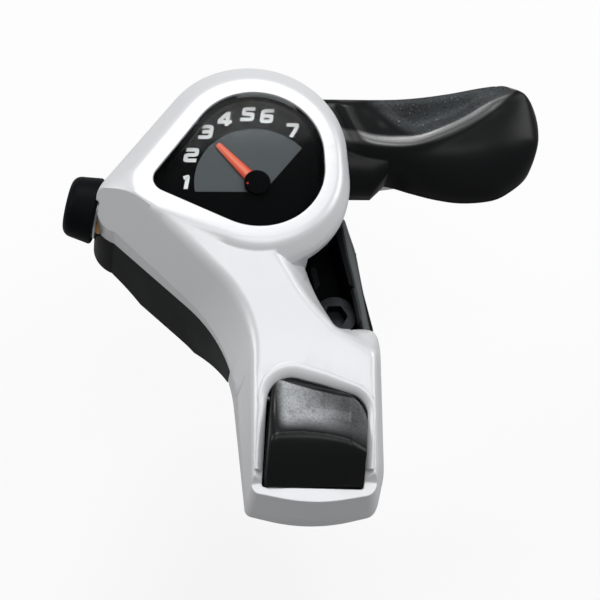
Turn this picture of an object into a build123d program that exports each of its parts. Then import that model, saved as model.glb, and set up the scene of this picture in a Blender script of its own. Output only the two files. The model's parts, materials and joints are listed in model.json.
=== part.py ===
"""Thumb-lever index gear shifter for a flat handlebar, right hand.

Every piece is drawn about the lever's pivot: z = 0 is the dial's rim, x runs along the handlebar towards the
grip and y points forward. PLACE then carries the pieces to the row's frame, whose origin is the middle of the
handlebar clamp. Millimetres.
"""

import os
from math import cos, exp, radians, sin

from build123d import *

# Handlebar clamp
BAR_DIAMETER = 22.2
BAR_CLEARANCE = 0.05
CLAMP_WALL = 3.2
CLAMP_WIDTH = 12.0
CLAMP_SPLIT = 2.4
SADDLE_RELIEF = 0.8
BAR_X, BAR_Y, BAR_Z = 12.6, -5.2, -36.0
BORE_RADIUS = BAR_DIAMETER / 2 + BAR_CLEARANCE
CLAMP_RADIUS = BORE_RADIUS + CLAMP_WALL

# Fits
RUNNING_FIT = 0.05
BUTTON_GAP = 0.35

# Turn of the drum from one gear to the next
INDEX_ANGLE = 20.0

# Heights of the moulded shell
WALL = 2.2
BEVEL_DEPTH = 2.6
RIM_THICKNESS = 3.0
RIM_ROUND = 1.0
RIM_SHARE = 0.3
SHOULDER_ROUND = 1.0
SHOULDER_SHARE = 0.25
RIDGE_ROUND = 1.3
RIDGE_START = 0.8
SKIRT_Z = -4.8
PARTING_Z = -11.5
END_Z = -16.0
FLOOR_TOP = -20.3
FLOOR_BOTTOM = -22.8
BASE_BOTTOM = -27.0

# Dial outlines, each the hull of three circles (x, y, radius)
WINDOW_CIRCLES = ((-0.1, 5.1, 12.4), (-0.1, 2.5, 12.4), (-16.3, -0.4, 2.7))
RIM_CIRCLES = ((-0.1, 5.1, 15.45), (-0.1, 2.5, 15.45), (-17.5, -1.2, 5.4))
TURRET_CIRCLES = ((-0.6, 6.8, 17.5), (-0.4, 0.8, 17.5), (-23.9, -3.0, 5.2))
CAVITY_CIRCLES = ((-0.6, 6.8, 15.4), (-0.4, 0.8, 15.4))

# Neck: corners (x, y, radius) of its foot and of its top face, which lie on two sloping planes
NECK_FOOT = (
    (-27.14, -6.51, 0),
    (-5.2, -28.0, 28),
    (-3.3, -58.8, 1.5),
    (8.1, -61.8, 30),
    (19.7, -59.2, 2.5),
    (21.4, -52.5, 12),
    (21.8, -26.3, 2.2),
    (13.9, -25.8, 2.5),
    (10.1, -19.6, 30),
    (7.7, -11.8, 0),
    (0.0, -3.0, 0),
    (-20.0, -1.5, 0),
)
NECK_TOP = (
    (-22.6, -2.6, 0),
    (-1.5, -24.1, 20),
    (-2.6, -56.9, 1.5),
    (8.1, -59.0, 30),
    (19.0, -57.5, 2.5),
    (19.4, -52.5, 12),
    (20.0, -32.9, 1.8),
    (12.9, -28.3, 2.5),
    (8.0, -22.7, 30),
    (2.2, -12.7, 0),
    (-2.0, -3.0, 0),
    (-18.0, -1.5, 0),
)
NECK_SLOPE = 0.142
FOOT_Z, TOP_Z = -5.65, 0.92
BASE_END_Y = -33.0
POCKET_SIDE = ((16.8, -2.7), (20.9, -25.0), (20.9, -36.0))
RISE_X, RISE_Y, RISE_Z = 9.0, -23.0, -17.0

# Pivot stack, from the dial down
LENS_TOP, LENS_BOTTOM = -0.4, -1.6
CAP_TOP, NEEDLE_TOP, NEEDLE_BOTTOM = -1.9, -2.25, -2.75
DIAL_TOP, DIAL_BOTTOM = -3.0, -3.8
CARRIER_TOP, CARRIER_BOTTOM = -4.1, -4.8
AXLE_TOP, NUT_TOP, WASHER_TOP, SHOULDER_Z = -5.1, -5.4, -8.4, -9.0
DRUM_TOP, DRUM_BOTTOM = -9.3, -14.2
GROOVE_TOP, GROOVE_BOTTOM, RATCHET_TOP = -10.2, -11.9, -12.7
THRUST_TOP, THRUST_BOTTOM = -14.3, -14.75
PLATE_TOP, PLATE_BOTTOM = -14.85, -16.85
PAWL_TOP, PAWL_BOTTOM = -12.8, -14.6
AXLE_RADIUS = 4.0
THREAD_RADIUS = 3.0
CABLE_PITCH_RADIUS = 8.5
CABLE_RADIUS = 0.6
CABLE_END_RADIUS = 1.7
CABLE_END_ANGLE = 20.0
RATCHET_RADIUS = 13.0

# Cable adjuster, tangent to the drum's groove
ADJUSTER_ANGLE = 166.0
ADJUSTER_Z = (GROOVE_TOP + GROOVE_BOTTOM) / 2
ADJUSTER_SEAT = 26.9
KNOB_BACK, KNOB_END = 27.4, 33.0
KNOB_RADIUS, KNOB_TIP_RADIUS = 6.2, 5.4
KNOB_BACK_ROUND, KNOB_TIP_ROUND = 0.5, 1.8
CASING_RADIUS = 2.6
CASING_DEPTH = 4.6
STEM_RADIUS = 2.5
SPIGOT_RADIUS = 1.9
WASHER_RADIUS = 5.0
STEM_START, BUSH_START = 14.5, 15.0
BUSH_RADIUS = 4.0

# Release button and its pin
APERTURE = ((-1.0, -56.3, 0.6), (16.9, -56.9, 0.6), (18.4, -41.0, 3.6), (10.5, -38.3, 25), (0.8, -35.7, 4.6))
APERTURE_BEVEL_DEPTH = 0.95
APERTURE_BEVEL_RISE = 0.48
SILL_TOP, SILL_FOOT = (-54.1, -6.76), (-55.6, -8.1)
PIN_Y, PIN_Z, PIN_RADIUS = -39.5, -9.0, 1.0
PIN_START, PIN_END = -0.9, 19.2
BUTTON_BOTTOM = -11.0
BUTTON_WALL, BUTTON_ROOF = 1.8, 2.7
BUTTON_WAIST = -6.6
BUTTON_DRAFT = 2.6
BUTTON_BACK = (-35.0, -5.6)
BUTTON_PAD = (-43.5, -4.3)
BUTTON_CREST = (-51.0, -2.2)
BUTTON_FRONT = (-54.6, -4.8)
BUTTON_FOOT = (-57.5, -9.0)
BUTTON_CREST_ROUND = 0.9
BUTTON_LEAN = 0.7
BUTTON_SCOOP_RADIUS = 18.0
BUTTON_SCOOP_START = (8.2, -34.0, 11.4)
BUTTON_SCOOP_END = (8.2, -44.3, 13.8)
BUTTON_ARM = (5.0, -39.6, -10.2)
BUTTON_ARM_SIZE = (3.0, 2.0, 8.4)
BUTTON_SPRING_AT = (8.0, -49.0)

# Thumb paddle: plan lines of its near side and end, of its far edge and of the ridge round the thumb's scoop
PADDLE_NEAR = (
    (12.0, 6.0),
    (20.0, 6.1),
    (25.6, 5.7),
    (30.2, 4.3),
    (34.9, 3.0),
    (40.0, 2.3),
    (45.8, 2.9),
    (49.5, 4.8),
    (52.8, 7.8),
    (54.8, 11.9),
    (55.5, 16.0),
    (55.0, 19.6),
    (53.4, 22.2),
    (51.0, 23.7),
)
PADDLE_FAR = (
    (51.0, 23.7),
    (47.5, 23.9),
    (43.5, 23.3),
    (37.5, 22.0),
    (31.0, 21.0),
    (24.5, 20.6),
    (12.0, 20.6),
)
PADDLE_RIDGE = (
    (17.5, 20.0),
    (19.6, 14.6),
    (21.4, 11.8),
    (25.2, 10.8),
    (30.1, 11.1),
    (35.5, 13.2),
    (41.6, 16.4),
    (46.2, 19.7),
    (49.0, 21.2),
    (54.0, 23.0),
)
PADDLE_ROOT = ((12.0, 2.9), (22.4, 2.9), (25.4, 5.9), (25.4, 10.0), (12.0, 10.0))
PADDLE_ROOT_TOP = -8.2
PADDLE_ROOT_SHOULDER = (2.2, 2.0)
PADDLE_STATIONS = (12.5, 15.5, 18, 20, 22, 25, 28.5, 32, 35.5, 39, 42.5, 46, 49, 51.5, 53.4, 54.6, 55.2)
FLANK_STEPS = (0, 0.05, 0.16, 0.33, 0.55, 0.8)
SCOOP_STEPS = (0, 0.14, 0.3, 0.5, 0.7, 0.88, 1)
RIDGE_MARGIN = 0.15
TRACE_STEPS = 60
PADDLE_EDGE = 0.3
PADDLE_INNER_RADIUS = 14.9

# Heights and widths of the paddle's upper side
RIDGE_Z, RIDGE_NEAR_WIDTH, RIDGE_FAR_WIDTH = -5.3, 1.9, 2.5
SHELF_Z = -7.0
ROOT_FLOOR_Z, SCOOP_FLOOR_Z, FAR_RIM_Z = -7.4, -9.4, -7.0
SCOOP_START, SCOOP_RUN = 40.0, 7.0
FAR_RIM_WIDTH = 5.0
BACK_TOP_Z, BACK_ROUND, BACK_DROP = -6.4, 2.5, 1.5
FLANK_TOP = -5.0
FLANK_WIDTH, END_WIDTH = 8.5, 3.2
END_WALL_Z = -9.6
END_START, END_RUN = 5.0, 9.0
BLEND = 1.2

# Thumb lever
LEVER_ROOT = (11.0, 8.4)
LEVER_SCREWS = ((21.5, 10.0), (31.5, 11.5))
FEED_PIN = (8.1, 15.3)
HOLD_PIN = (-6.2, -16.6)
LINK_CIRCLES = ((-9.2, -19.65, 0.8), (-2.0, -27.0, 1.3), (5.0, -37.0, 1.3))

# Drum, ratchet and needle
DRUM_RADIUS = 11.0
RATCHET_ROOT = 11.2
RATCHET_BORE = 7.0
POINTER_ANGLE = 131.0
POINTER_LENGTH = 10.5
POINTER_ROOT, POINTER_TIP = 1.15, 0.4
POINTER_BEVEL = 0.3

# Lever plate and its fastenings
LEVER_BUSH_RADIUS = 5.0
LEVER_SCREW_RADIUS = 1.5
LEVER_SCREW_TOP = -11.2

# Screws
COVER_SCREWS = ((-17.5, 4.5), (15.5, -29.9), (-12.9, 14.5))
COVER_SCREW_RADIUS = 1.25
COVER_SCREW_TOP = -6.2
COVER_HEAD_RADIUS = 2.3
COVER_HEAD_HEIGHT = 1.6
POST_RADIUS = 2.6
SCREW_CLEARANCE = 0.15
BOLT_XY = (14.8, -20.4)
BOLT_RADIUS = 2.5
BOLT_HEAD_RADIUS = 4.25
BOLT_SEAT = -21.0
BOLT_TIP = -44.5
EAR_BOTTOM = -44.0
EAR_HALF_WIDTH = 5.4
POCKET_RIB = ((10.4, -13.8, 0.55), (11.0, -17.6, 0.55))
POCKET_RIB_TOP = -10.0
NUT_FLAT = 8.0

PLACE = Pos(-BAR_X, -BAR_Y, -BAR_Z)


def hull(circles, grow=0.0):
    """Outline round a set of circles, each given as x, y and radius."""
    return make_hull([Pos(x, y) * Edge.make_circle(radius + grow) for x, y, radius in circles])


def rounded(corners):
    """Closed outline with its own radius at each corner."""
    points = [(x, y) for x, y, _ in corners]
    return make_face(FilletPolyline(*points, radius=[radius for _, _, radius in corners], close=True))


def prism(outline, bottom, top):
    """Solid that stands on a plan outline between two heights."""
    return extrude(Pos(0, 0, bottom) * outline, amount=top - bottom, dir=(0, 0, 1))


def disc(radius, bottom, top, at=(0.0, 0.0)):
    """Upright cylinder between two heights."""
    return prism(Pos(*at) * Circle(radius), bottom, top)


def tube(outer, inner, bottom, top, at=(0.0, 0.0)):
    """Upright tube between two heights."""
    return prism(Pos(*at) * (Circle(outer) - Circle(inner)), bottom, top)


def sector(start, end, reach, bottom, top):
    """Wedge about the pivot between two angles in degrees."""
    steps = [start + (end - start) * i / 4 for i in range(5)]
    rim = [(reach * cos(radians(a)), reach * sin(radians(a))) for a in steps]
    return prism(make_face(Polyline((0, 0), *rim, close=True)), bottom, top)


def along_x(profile, start, end):
    """Solid with a (y, z) profile, swept along x."""
    return extrude(Plane.YZ.offset(start) * profile, amount=end - start)


def x_rod(radius, start, end, y, z):
    """Cylinder along x."""
    return along_x(Pos(y, z) * Circle(radius), start, end)


def sloped(corners, level):
    """Plan outline laid on a plane that falls towards the button end and has this level at y = 0."""
    stretch = (1 + NECK_SLOPE**2) ** 0.5
    plane = Plane((0, 0, level), x_dir=(1, 0, 0), z_dir=(0, -NECK_SLOPE, 1))
    return plane * rounded([(x, y * stretch, radius) for x, y, radius in corners])


def inset(corners, distance):
    """Corners of the same outline, taken anticlockwise, with every side moved inwards."""
    moved = []
    for i, (x, y, radius) in enumerate(corners):
        before, after = corners[i - 1], corners[(i + 1) % len(corners)]
        side_in = Vector(x - before[0], y - before[1]).normalized()
        side_out = Vector(after[0] - x, after[1] - y).normalized()
        normals = Vector(-side_in.Y - side_out.Y, side_in.X + side_out.X)
        shift = normals * (distance / (1 + side_in.dot(side_out)))
        hollow = side_in.X * side_out.Y < side_in.Y * side_out.X
        new_radius = radius + distance if hollow else max(radius - distance, 0.2)
        moved.append((x + shift.X, y + shift.Y, new_radius if radius else 0))
    return moved


def mix(*weighted):
    """Weighted mean of outlines that have the same corners."""
    outlines = [[(x * w, y * w, r * w) for x, y, r in corners] for w, corners in weighted]
    return [tuple(map(sum, zip(*corner))) for corner in zip(*outlines)]


def adjuster_plane(distance):
    """Plane square to the adjuster's axis, at a distance from the drum and facing out of the housing."""
    angle = radians(ADJUSTER_ANGLE)
    along = Vector(cos(angle), sin(angle), 0)
    foot = Vector(-sin(angle), cos(angle), 0) * CABLE_PITCH_RADIUS
    return Plane(foot + along * distance + Vector(0, 0, ADJUSTER_Z), x_dir=(0, 0, 1), z_dir=along)


def adjuster_rod(radius, start, end):
    """Cylinder on the adjuster's axis."""
    return extrude(adjuster_plane(start) * Circle(radius), amount=end - start)


def facet_cutter():
    """Block above the neck's left facet, which also trims the turret's corner."""
    foot, bend, ridge = (
        Vector(x, y, level + NECK_SLOPE * y)
        for (x, y, _), level in ((NECK_FOOT[0], FOOT_Z), (NECK_FOOT[1], FOOT_Z), (NECK_TOP[0], TOP_Z))
    )
    along = (bend - foot).normalized()
    outward = along.cross(ridge - foot).normalized()
    plane = Plane(foot, x_dir=along, z_dir=outward)
    return plane * Pos(0, 0, 10) * Box(60, 60, 20)


def bend(first, middle, last, steps):
    """Sections (level, corners) along a curve that leaves first for middle and arrives at last."""
    sections = []
    for step in range(steps + 1):
        t = step / steps
        weights = ((1 - t) ** 2, 2 * t * (1 - t), t**2)
        level = sum(w * height for w, (height, _) in zip(weights, (first, middle, last)))
        sections.append((level, mix(*((w, shape) for w, (_, shape) in zip(weights, (first, middle, last))))))
    return sections


def turret():
    """Dial turret of the cover with its bevelled and rounded rim."""
    flank = [
        (-BEVEL_DEPTH * (1 - share), mix((1 - share, TURRET_CIRCLES), (share, RIM_CIRCLES)))
        for share in (SHOULDER_SHARE, 1 - RIM_SHARE)
    ]
    face = [(x, y, radius - RIM_ROUND) for x, y, radius in RIM_CIRCLES]
    wall_top = -BEVEL_DEPTH - SHOULDER_ROUND
    sections = bend((wall_top, TURRET_CIRCLES), (-BEVEL_DEPTH, TURRET_CIRCLES), flank[0], 3)
    sections += bend(flank[1], (0, RIM_CIRCLES), (0, face), 3)
    bevel = loft([Pos(0, 0, level) * hull(circles) for level, circles in sections], ruled=True)
    return bevel + prism(hull(TURRET_CIRCLES), PARTING_Z, wall_top) - facet_cutter()


def neck():
    """Neck and button end of the cover, with bevels of changing width."""
    start_level = FOOT_Z + RIDGE_START * (TOP_Z - FOOT_Z)
    start = (start_level, mix((1 - RIDGE_START, NECK_FOOT), (RIDGE_START, NECK_TOP)))
    sections = [(FOOT_Z, NECK_FOOT)]
    sections += bend(start, (TOP_Z, NECK_TOP), (TOP_Z, inset(NECK_TOP, RIDGE_ROUND)), 4)
    body = loft([sloped(corners, level) for level, corners in sections], ruled=True)
    body += extrude(sloped(NECK_FOOT, FOOT_Z), amount=30, dir=(0, 0, -1))
    return body - Pos(0, 0, 10) * Box(200, 200, 20)


def below_cover():
    """Everything under the cover's lower edge, as one cutter."""
    step_y = BASE_END_Y - 0.2
    edge = Polyline(
        (60, PARTING_Z), (step_y, PARTING_Z), (step_y, END_Z), (-80, END_Z), (-80, -70), (60, -70), close=True
    )
    return along_x(make_face(edge), -80, 80)


def neck_cavity(clearance=0.0):
    """Hollow inside the neck and the button end."""
    return extrude(sloped(inset(NECK_TOP, WALL + clearance), TOP_Z - WALL), amount=40, dir=(0, 0, -1))


def aperture(grow=0.0):
    """Plan outline of the button's opening."""
    outline = rounded(APERTURE)
    return offset(outline, grow, kind=Kind.ARC) if grow else outline


def aperture_cutter():
    """Opening for the button, flared where the cover's top slopes down to it."""
    start = TOP_Z - APERTURE_BEVEL_DEPTH
    funnel = [sloped(inset(APERTURE, -grow), start + grow * APERTURE_BEVEL_RISE) for grow in (-1.0, 2.5)]
    return prism(aperture(), -14, 2) + loft(funnel, ruled=True)


def above_sill():
    """Everything over the sill in front of the button, which lies lower than the rails beside it."""
    top, foot, run = Vector(*SILL_TOP), Vector(*SILL_FOOT), 30.0
    crest = top + (top - foot)
    end = foot + Vector(-run, -run * NECK_SLOPE)
    edge = Polyline(crest, foot, end, (end.X, WALL), close=True)
    return along_x(make_face(edge), -80, 80)


def top_cover():
    """Painted cover with its window, cavity, button opening and screw posts."""
    cover = turret() + neck()
    cover -= below_cover()
    cover -= prism(hull(CAVITY_CIRCLES), -40, -RIM_THICKNESS)
    cover -= neck_cavity()
    cover += disc(POST_RADIUS, PARTING_Z, -RIM_THICKNESS - 1.0, COVER_SCREWS[2])
    cover -= prism(hull(WINDOW_CIRCLES), -RIM_THICKNESS - 1, 1)
    cover -= prism(hull(WINDOW_CIRCLES, 1.3), DIAL_BOTTOM - 0.1, -RIM_THICKNESS)
    cover -= sector(-58, 104, 60, -40, SKIRT_Z)
    cover -= aperture_cutter()
    cover -= above_sill()
    for at in COVER_SCREWS:
        cover -= disc(COVER_SCREW_RADIUS, -40, COVER_SCREW_TOP, at)
    cover -= x_rod(PIN_RADIUS, PIN_START, PIN_END, PIN_Y, PIN_Z)
    cover -= adjuster_rod(BUSH_RADIUS, 8, ADJUSTER_SEAT + 1)
    cover -= adjuster_rod(KNOB_RADIUS + 0.5, ADJUSTER_SEAT, 60)
    return cover


def dial_window():
    """Clear window that fills the opening in the rim."""
    return prism(hull(WINDOW_CIRCLES, -0.1), LENS_BOTTOM, LENS_TOP)


def dial_plate():
    """Tray under the window: a floor for the numerals, a rim that carries the window and a flange."""
    tray = prism(hull(WINDOW_CIRCLES, 1.2), DIAL_BOTTOM, DIAL_TOP)
    tray += prism(hull(WINDOW_CIRCLES, -0.1) - hull(WINDOW_CIRCLES, -0.9), DIAL_TOP, LENS_BOTTOM)
    return tray - disc(2.0, -10, 0)


def pointer():
    """Tapered needle with bevelled sides and a small boss that shows in the hub."""
    half_root, half_tip, tip = POINTER_ROOT, POINTER_TIP, POINTER_LENGTH
    outline = Polyline((0, half_root), (tip, half_tip), (tip, -half_tip), (0, -half_root), close=True)
    blade = prism(make_face(outline), NEEDLE_BOTTOM, NEEDLE_TOP)
    sides = blade.edges().group_by(Axis.Z)[-1].sort_by(SortBy.LENGTH)[-2:]
    needle = Rot(0, 0, POINTER_ANGLE) * chamfer(sides, POINTER_BEVEL)
    needle += disc(2.0, NEEDLE_BOTTOM, NEEDLE_TOP)
    return needle + disc(0.6, NEEDLE_TOP, CAP_TOP)


def pointer_hub():
    """Round cap over the needle's root."""
    return tube(2.4, 0.6, NEEDLE_TOP, CAP_TOP)


def pointer_carrier():
    """Cup over the axle's nut that joins the needle to the drum."""
    cup = disc(7.5, CARRIER_BOTTOM, CARRIER_TOP)
    cup += tube(7.5, 6.5, DRUM_TOP, CARRIER_BOTTOM)
    return cup + disc(1.5, CARRIER_TOP, NEEDLE_BOTTOM)


def cable_drum():
    """Spool with the cable's groove, a pocket for the cable's end and a hub for the ratchet."""
    bore = AXLE_RADIUS + RUNNING_FIT
    drum = tube(DRUM_RADIUS, bore, GROOVE_TOP, DRUM_TOP)
    drum += tube(CABLE_PITCH_RADIUS - CABLE_RADIUS, bore, GROOVE_BOTTOM, GROOVE_TOP)
    drum += tube(DRUM_RADIUS, bore, RATCHET_TOP, GROOVE_BOTTOM)
    drum += tube(RATCHET_BORE, bore, DRUM_BOTTOM, RATCHET_TOP)
    reach = DRUM_RADIUS - CABLE_END_RADIUS - 0.2
    angle = radians(CABLE_END_ANGLE)
    return drum - disc(CABLE_END_RADIUS, RATCHET_TOP, 0, (reach * cos(angle), reach * sin(angle)))


def ratchet_ring():
    """Saw-toothed ring under the drum, one tooth to a gear."""
    teeth = round(360 / INDEX_ANGLE)
    outline = []
    for i in range(teeth):
        turn = radians(i * INDEX_ANGLE + 6)
        for radius in (RATCHET_ROOT, RATCHET_RADIUS):
            outline.append((radius * cos(turn), radius * sin(turn)))
    return prism(make_face(Polyline(*outline, close=True)) - Circle(RATCHET_BORE), DRUM_BOTTOM, RATCHET_TOP)


def pivot_axle():
    """Stud through the floor: a flange below, a journal and a thread above."""
    axle = disc(6.5, FLOOR_BOTTOM - 1.5, FLOOR_BOTTOM)
    axle += disc(AXLE_RADIUS, FLOOR_BOTTOM, SHOULDER_Z)
    return axle + disc(THREAD_RADIUS, SHOULDER_Z, AXLE_TOP)


def axle_nut():
    """Hexagon nut on the axle."""
    return prism(RegularPolygon(5.0, 6, major_radius=False) - Circle(THREAD_RADIUS), WASHER_TOP, NUT_TOP)


def axle_washer():
    """Washer that keeps the drum on the axle."""
    return tube(6.0, THREAD_RADIUS + 0.1, SHOULDER_Z, WASHER_TOP)


def thrust_washer():
    """Washer between the drum and the lever."""
    return tube(7.0, AXLE_RADIUS + RUNNING_FIT, THRUST_BOTTOM, THRUST_TOP)


def lever_plate():
    """Pressed steel plate of the lever with a lobe for the feed pawl."""
    outline = hull(((0, 0, 9.0), (*LEVER_ROOT, 4.5))) + hull(((*LEVER_ROOT, 4.5), (*LEVER_SCREWS[1], 4.5)))
    outline += hull(((0, 0, 9.0), (*FEED_PIN, 3.4)))
    plate = prism(outline, PLATE_BOTTOM, PLATE_TOP)
    plate -= disc(LEVER_BUSH_RADIUS, -40, 0)
    for at in (*LEVER_SCREWS, FEED_PIN):
        plate -= disc(LEVER_SCREW_RADIUS, -40, 0, at)
    return plate


def lever_bush():
    """Plain bearing of the lever."""
    return tube(LEVER_BUSH_RADIUS, AXLE_RADIUS + RUNNING_FIT, PLATE_BOTTOM, PLATE_TOP)


def ease(share):
    """Smooth step from 0 to 1."""
    share = min(max(share, 0.0), 1.0)
    return share * share * (3 - 2 * share)


def softer(first, second, width):
    """Lower of two heights, with a rounded valley where they meet."""
    overlap = max(width - abs(first - second), 0.0) / width
    return min(first, second) - overlap**2 * width / 4


def traced(points, count):
    """Points along a smooth plan line."""
    line = Spline(*points)
    return [((line @ (i / count)).X, (line @ (i / count)).Y) for i in range(count + 1)]


def side_of(line, x, y):
    """Distance from a plan line, positive on its left."""
    best = float("inf")
    for (x0, y0), (x1, y1) in zip(line, line[1:]):
        dx, dy = x1 - x0, y1 - y0
        share = min(max(((x - x0) * dx + (y - y0) * dy) / (dx * dx + dy * dy), 0.0), 1.0)
        off_x, off_y = x - x0 - share * dx, y - y0 - share * dy
        gap = (off_x**2 + off_y**2) ** 0.5
        if gap < abs(best):
            best = gap if dx * off_y > dy * off_x else -gap
    return best


def paddle_height(x, y, near_line, far_line, ridge_line):
    """Upper side of the paddle: a flank that rises from the near edge, a ridge, the scoop and a far rim."""
    near = max(side_of(near_line, x, y), 0.0)
    far = max(side_of(far_line, x, y), 0.0)
    ridge = side_of(ridge_line, x, y)
    end = ease((y - END_START) / END_RUN)
    foot = PLATE_TOP + (END_WALL_Z - PLATE_TOP) * end
    width = FLANK_WIDTH + (END_WIDTH - FLANK_WIDTH) * end
    flank = foot + (FLANK_TOP - foot) * (1 - (1 - min(near / width, 1.0)) ** 2)
    floor, spread = SHELF_Z, RIDGE_NEAR_WIDTH
    if ridge > 0:
        floor = ROOT_FLOOR_Z + (SCOOP_FLOOR_Z - ROOT_FLOOR_Z) * ease((x + y - SCOOP_START) / SCOOP_RUN)
        floor += (FAR_RIM_Z - floor) * (1 - ease(far / FAR_RIM_WIDTH))
        spread = RIDGE_FAR_WIDTH
    top = floor + (RIDGE_Z - floor) * exp(-((ridge / spread) ** 2))
    back = BACK_TOP_Z - BACK_DROP * (1 - min(far / BACK_ROUND, 1.0)) ** 2
    return softer(softer(flank, top, BLEND), back, BLEND)


def crossings(line, x):
    """Places y where a plan line passes x."""
    places = []
    for (x0, y0), (x1, y1) in zip(line, line[1:]):
        if min(x0, x1) <= x <= max(x0, x1):
            places.append(y0 + (y1 - y0) * (x - x0) / (x1 - x0))
    return places


def paddle_section(x, near_line, far_line, ridge_line):
    """Cross-section of the paddle at one place along it, with one of its points on the ridge."""
    sides = crossings(near_line, x) + crossings(far_line, x)
    low, high = min(sides), max(sides)
    margin = RIDGE_MARGIN * (high - low)
    crest = min([*crossings(ridge_line, x), high - margin])
    places = [low + (crest - low) * step for step in FLANK_STEPS]
    places += [crest + (high - crest) * step for step in SCOOP_STEPS]
    heights = [paddle_height(x, y, near_line, far_line, ridge_line) for y in places]
    upper = [(y, max(height, PLATE_TOP + PADDLE_EDGE)) for y, height in zip(places, heights)]
    rest = Polyline(upper[-1], (high, PLATE_TOP), (low, PLATE_TOP), upper[0])
    return Plane.YZ.offset(x) * make_face([Spline(*upper), *rest.edges()])


def paddle_root():
    """Block beside the turret that carries the paddle."""
    plan = make_face(Polyline(*PADDLE_ROOT, close=True))
    near, far, top = PADDLE_ROOT[0][1] - 0.1, PADDLE_ROOT[3][1], PADDLE_ROOT_TOP
    over, under = PADDLE_ROOT_SHOULDER
    rise = ThreePointArc((near, PLATE_TOP), (near + over, top - under), (far, top))
    rest = Polyline((far, top), (far + 2, top), (far + 2, PLATE_TOP), (near, PLATE_TOP))
    return prism(plan, PLATE_TOP, 0) & along_x(make_face([rise, *rest.edges()]), 0, 70)


def thumb_paddle():
    """Moulded lever, lofted through its cross-sections, which lie closer together towards the tip."""
    lines = [traced(points, TRACE_STEPS) for points in (PADDLE_NEAR, PADDLE_FAR, PADDLE_RIDGE)]
    paddle = loft([paddle_section(x, *lines) for x in PADDLE_STATIONS])
    paddle += paddle_root()
    paddle -= disc(PADDLE_INNER_RADIUS, -40, 0)
    for at in LEVER_SCREWS:
        paddle -= disc(LEVER_SCREW_RADIUS, PLATE_TOP, LEVER_SCREW_TOP, at)
    return paddle


def lever_screws():
    """Two screws that hold the paddle on its plate."""
    screws = []
    for at in LEVER_SCREWS:
        shank = disc(LEVER_SCREW_RADIUS, PLATE_BOTTOM, LEVER_SCREW_TOP, at)
        screws.append(shank + disc(2.7, PLATE_BOTTOM - 1.1, PLATE_BOTTOM, at))
    return Compound(children=screws)


def coil(radius, wire, bottom, turns, pitch, at=(0.0, 0.0)):
    """Helical spring that starts on a floor."""
    path = Helix(pitch=pitch, height=pitch * turns, radius=radius)
    section = Plane(path @ 0, z_dir=path % 0) * RegularPolygon(wire, 6)
    return Pos(*at, bottom + wire) * sweep(section, path=path)


def feed_pawl_pin():
    """Pin on the lever plate, with a head that keeps the pawl and its spring."""
    return disc(LEVER_SCREW_RADIUS, PLATE_BOTTOM, -10.6, FEED_PIN) + disc(2.4, -10.6, -10.0, FEED_PIN)


def pawl(pin, *reaches):
    """Flat pawl with one arm to each of the given circles."""
    outline = Pos(*pin) * Circle(2.6)
    for reach in reaches:
        outline += hull(((*pin, 2.6), reach))
    return prism(outline - Pos(*pin) * Circle(LEVER_SCREW_RADIUS + RUNNING_FIT), PAWL_BOTTOM, PAWL_TOP)


def holding_pawl_pin():
    """Shouldered pin in the floor, with a head over the pawl."""
    pin = disc(LEVER_SCREW_RADIUS, FLOOR_BOTTOM, -12.5, HOLD_PIN)
    pin += disc(2.0, FLOOR_TOP, PAWL_BOTTOM - 0.2, HOLD_PIN)
    return pin + disc(2.3, -12.5, -11.9, HOLD_PIN)


def release_link():
    """Flat link from the button's arm to the holding pawl's tail."""
    start, bend_at, end = LINK_CIRCLES
    return prism(hull((start, bend_at)) + hull((bend_at, end)), PAWL_BOTTOM, PAWL_TOP)


def button_profile(drop=0.0):
    """Side view (y, z) of the button: a hollow pad that rises to a round crest, and a steep front."""
    back, pad, crest, front, foot = (
        (y, z - drop) for y, z in (BUTTON_BACK, BUTTON_PAD, BUTTON_CREST, BUTTON_FRONT, BUTTON_FOOT)
    )
    rest = Polyline(foot, (foot[0], FLOOR_TOP), (back[0], FLOOR_TOP), back)
    face = make_face([ThreePointArc(back, pad, crest), ThreePointArc(crest, front, foot), *rest.edges()])
    return fillet(face.vertices().sort_by(Axis.Y)[-1:], BUTTON_CREST_ROUND)


def button_block(shrink, drop):
    """Button with drafted sides, all its faces moved inwards."""
    gap = BUTTON_GAP + shrink
    foot, top = rounded(inset(APERTURE, gap)), rounded(inset(APERTURE, gap + BUTTON_DRAFT))
    block = prism(foot, BUTTON_BOTTOM - shrink, BUTTON_WAIST)
    block += loft([Pos(0, 0, BUTTON_WAIST) * foot, Pos(-BUTTON_LEAN, 0, 0) * top], ruled=True)
    return block & along_x(button_profile(drop), -10, 30)


def button_scoop():
    """Thumb-shaped cutter: a capsule that lies along the button's pad."""
    start, end = Vector(*BUTTON_SCOOP_START), Vector(*BUTTON_SCOOP_END)
    axis = end - start
    rod = extrude(Plane(start, z_dir=axis) * Circle(BUTTON_SCOOP_RADIUS), amount=axis.length)
    return rod + Pos(*BUTTON_SCOOP_END) * Sphere(BUTTON_SCOOP_RADIUS)


def release_button():
    """Hollow button with an arm that pushes the release link."""
    button = button_block(0.0, 0.0) - button_scoop()
    button -= button_block(BUTTON_WALL, BUTTON_ROOF)
    button += Pos(*BUTTON_ARM) * Box(*BUTTON_ARM_SIZE)
    return button - x_rod(PIN_RADIUS + RUNNING_FIT, -10, 30, PIN_Y, PIN_Z)


def button_pin():
    """Steel pin across the cover's end."""
    return x_rod(PIN_RADIUS, PIN_START, PIN_END, PIN_Y, PIN_Z)


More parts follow.
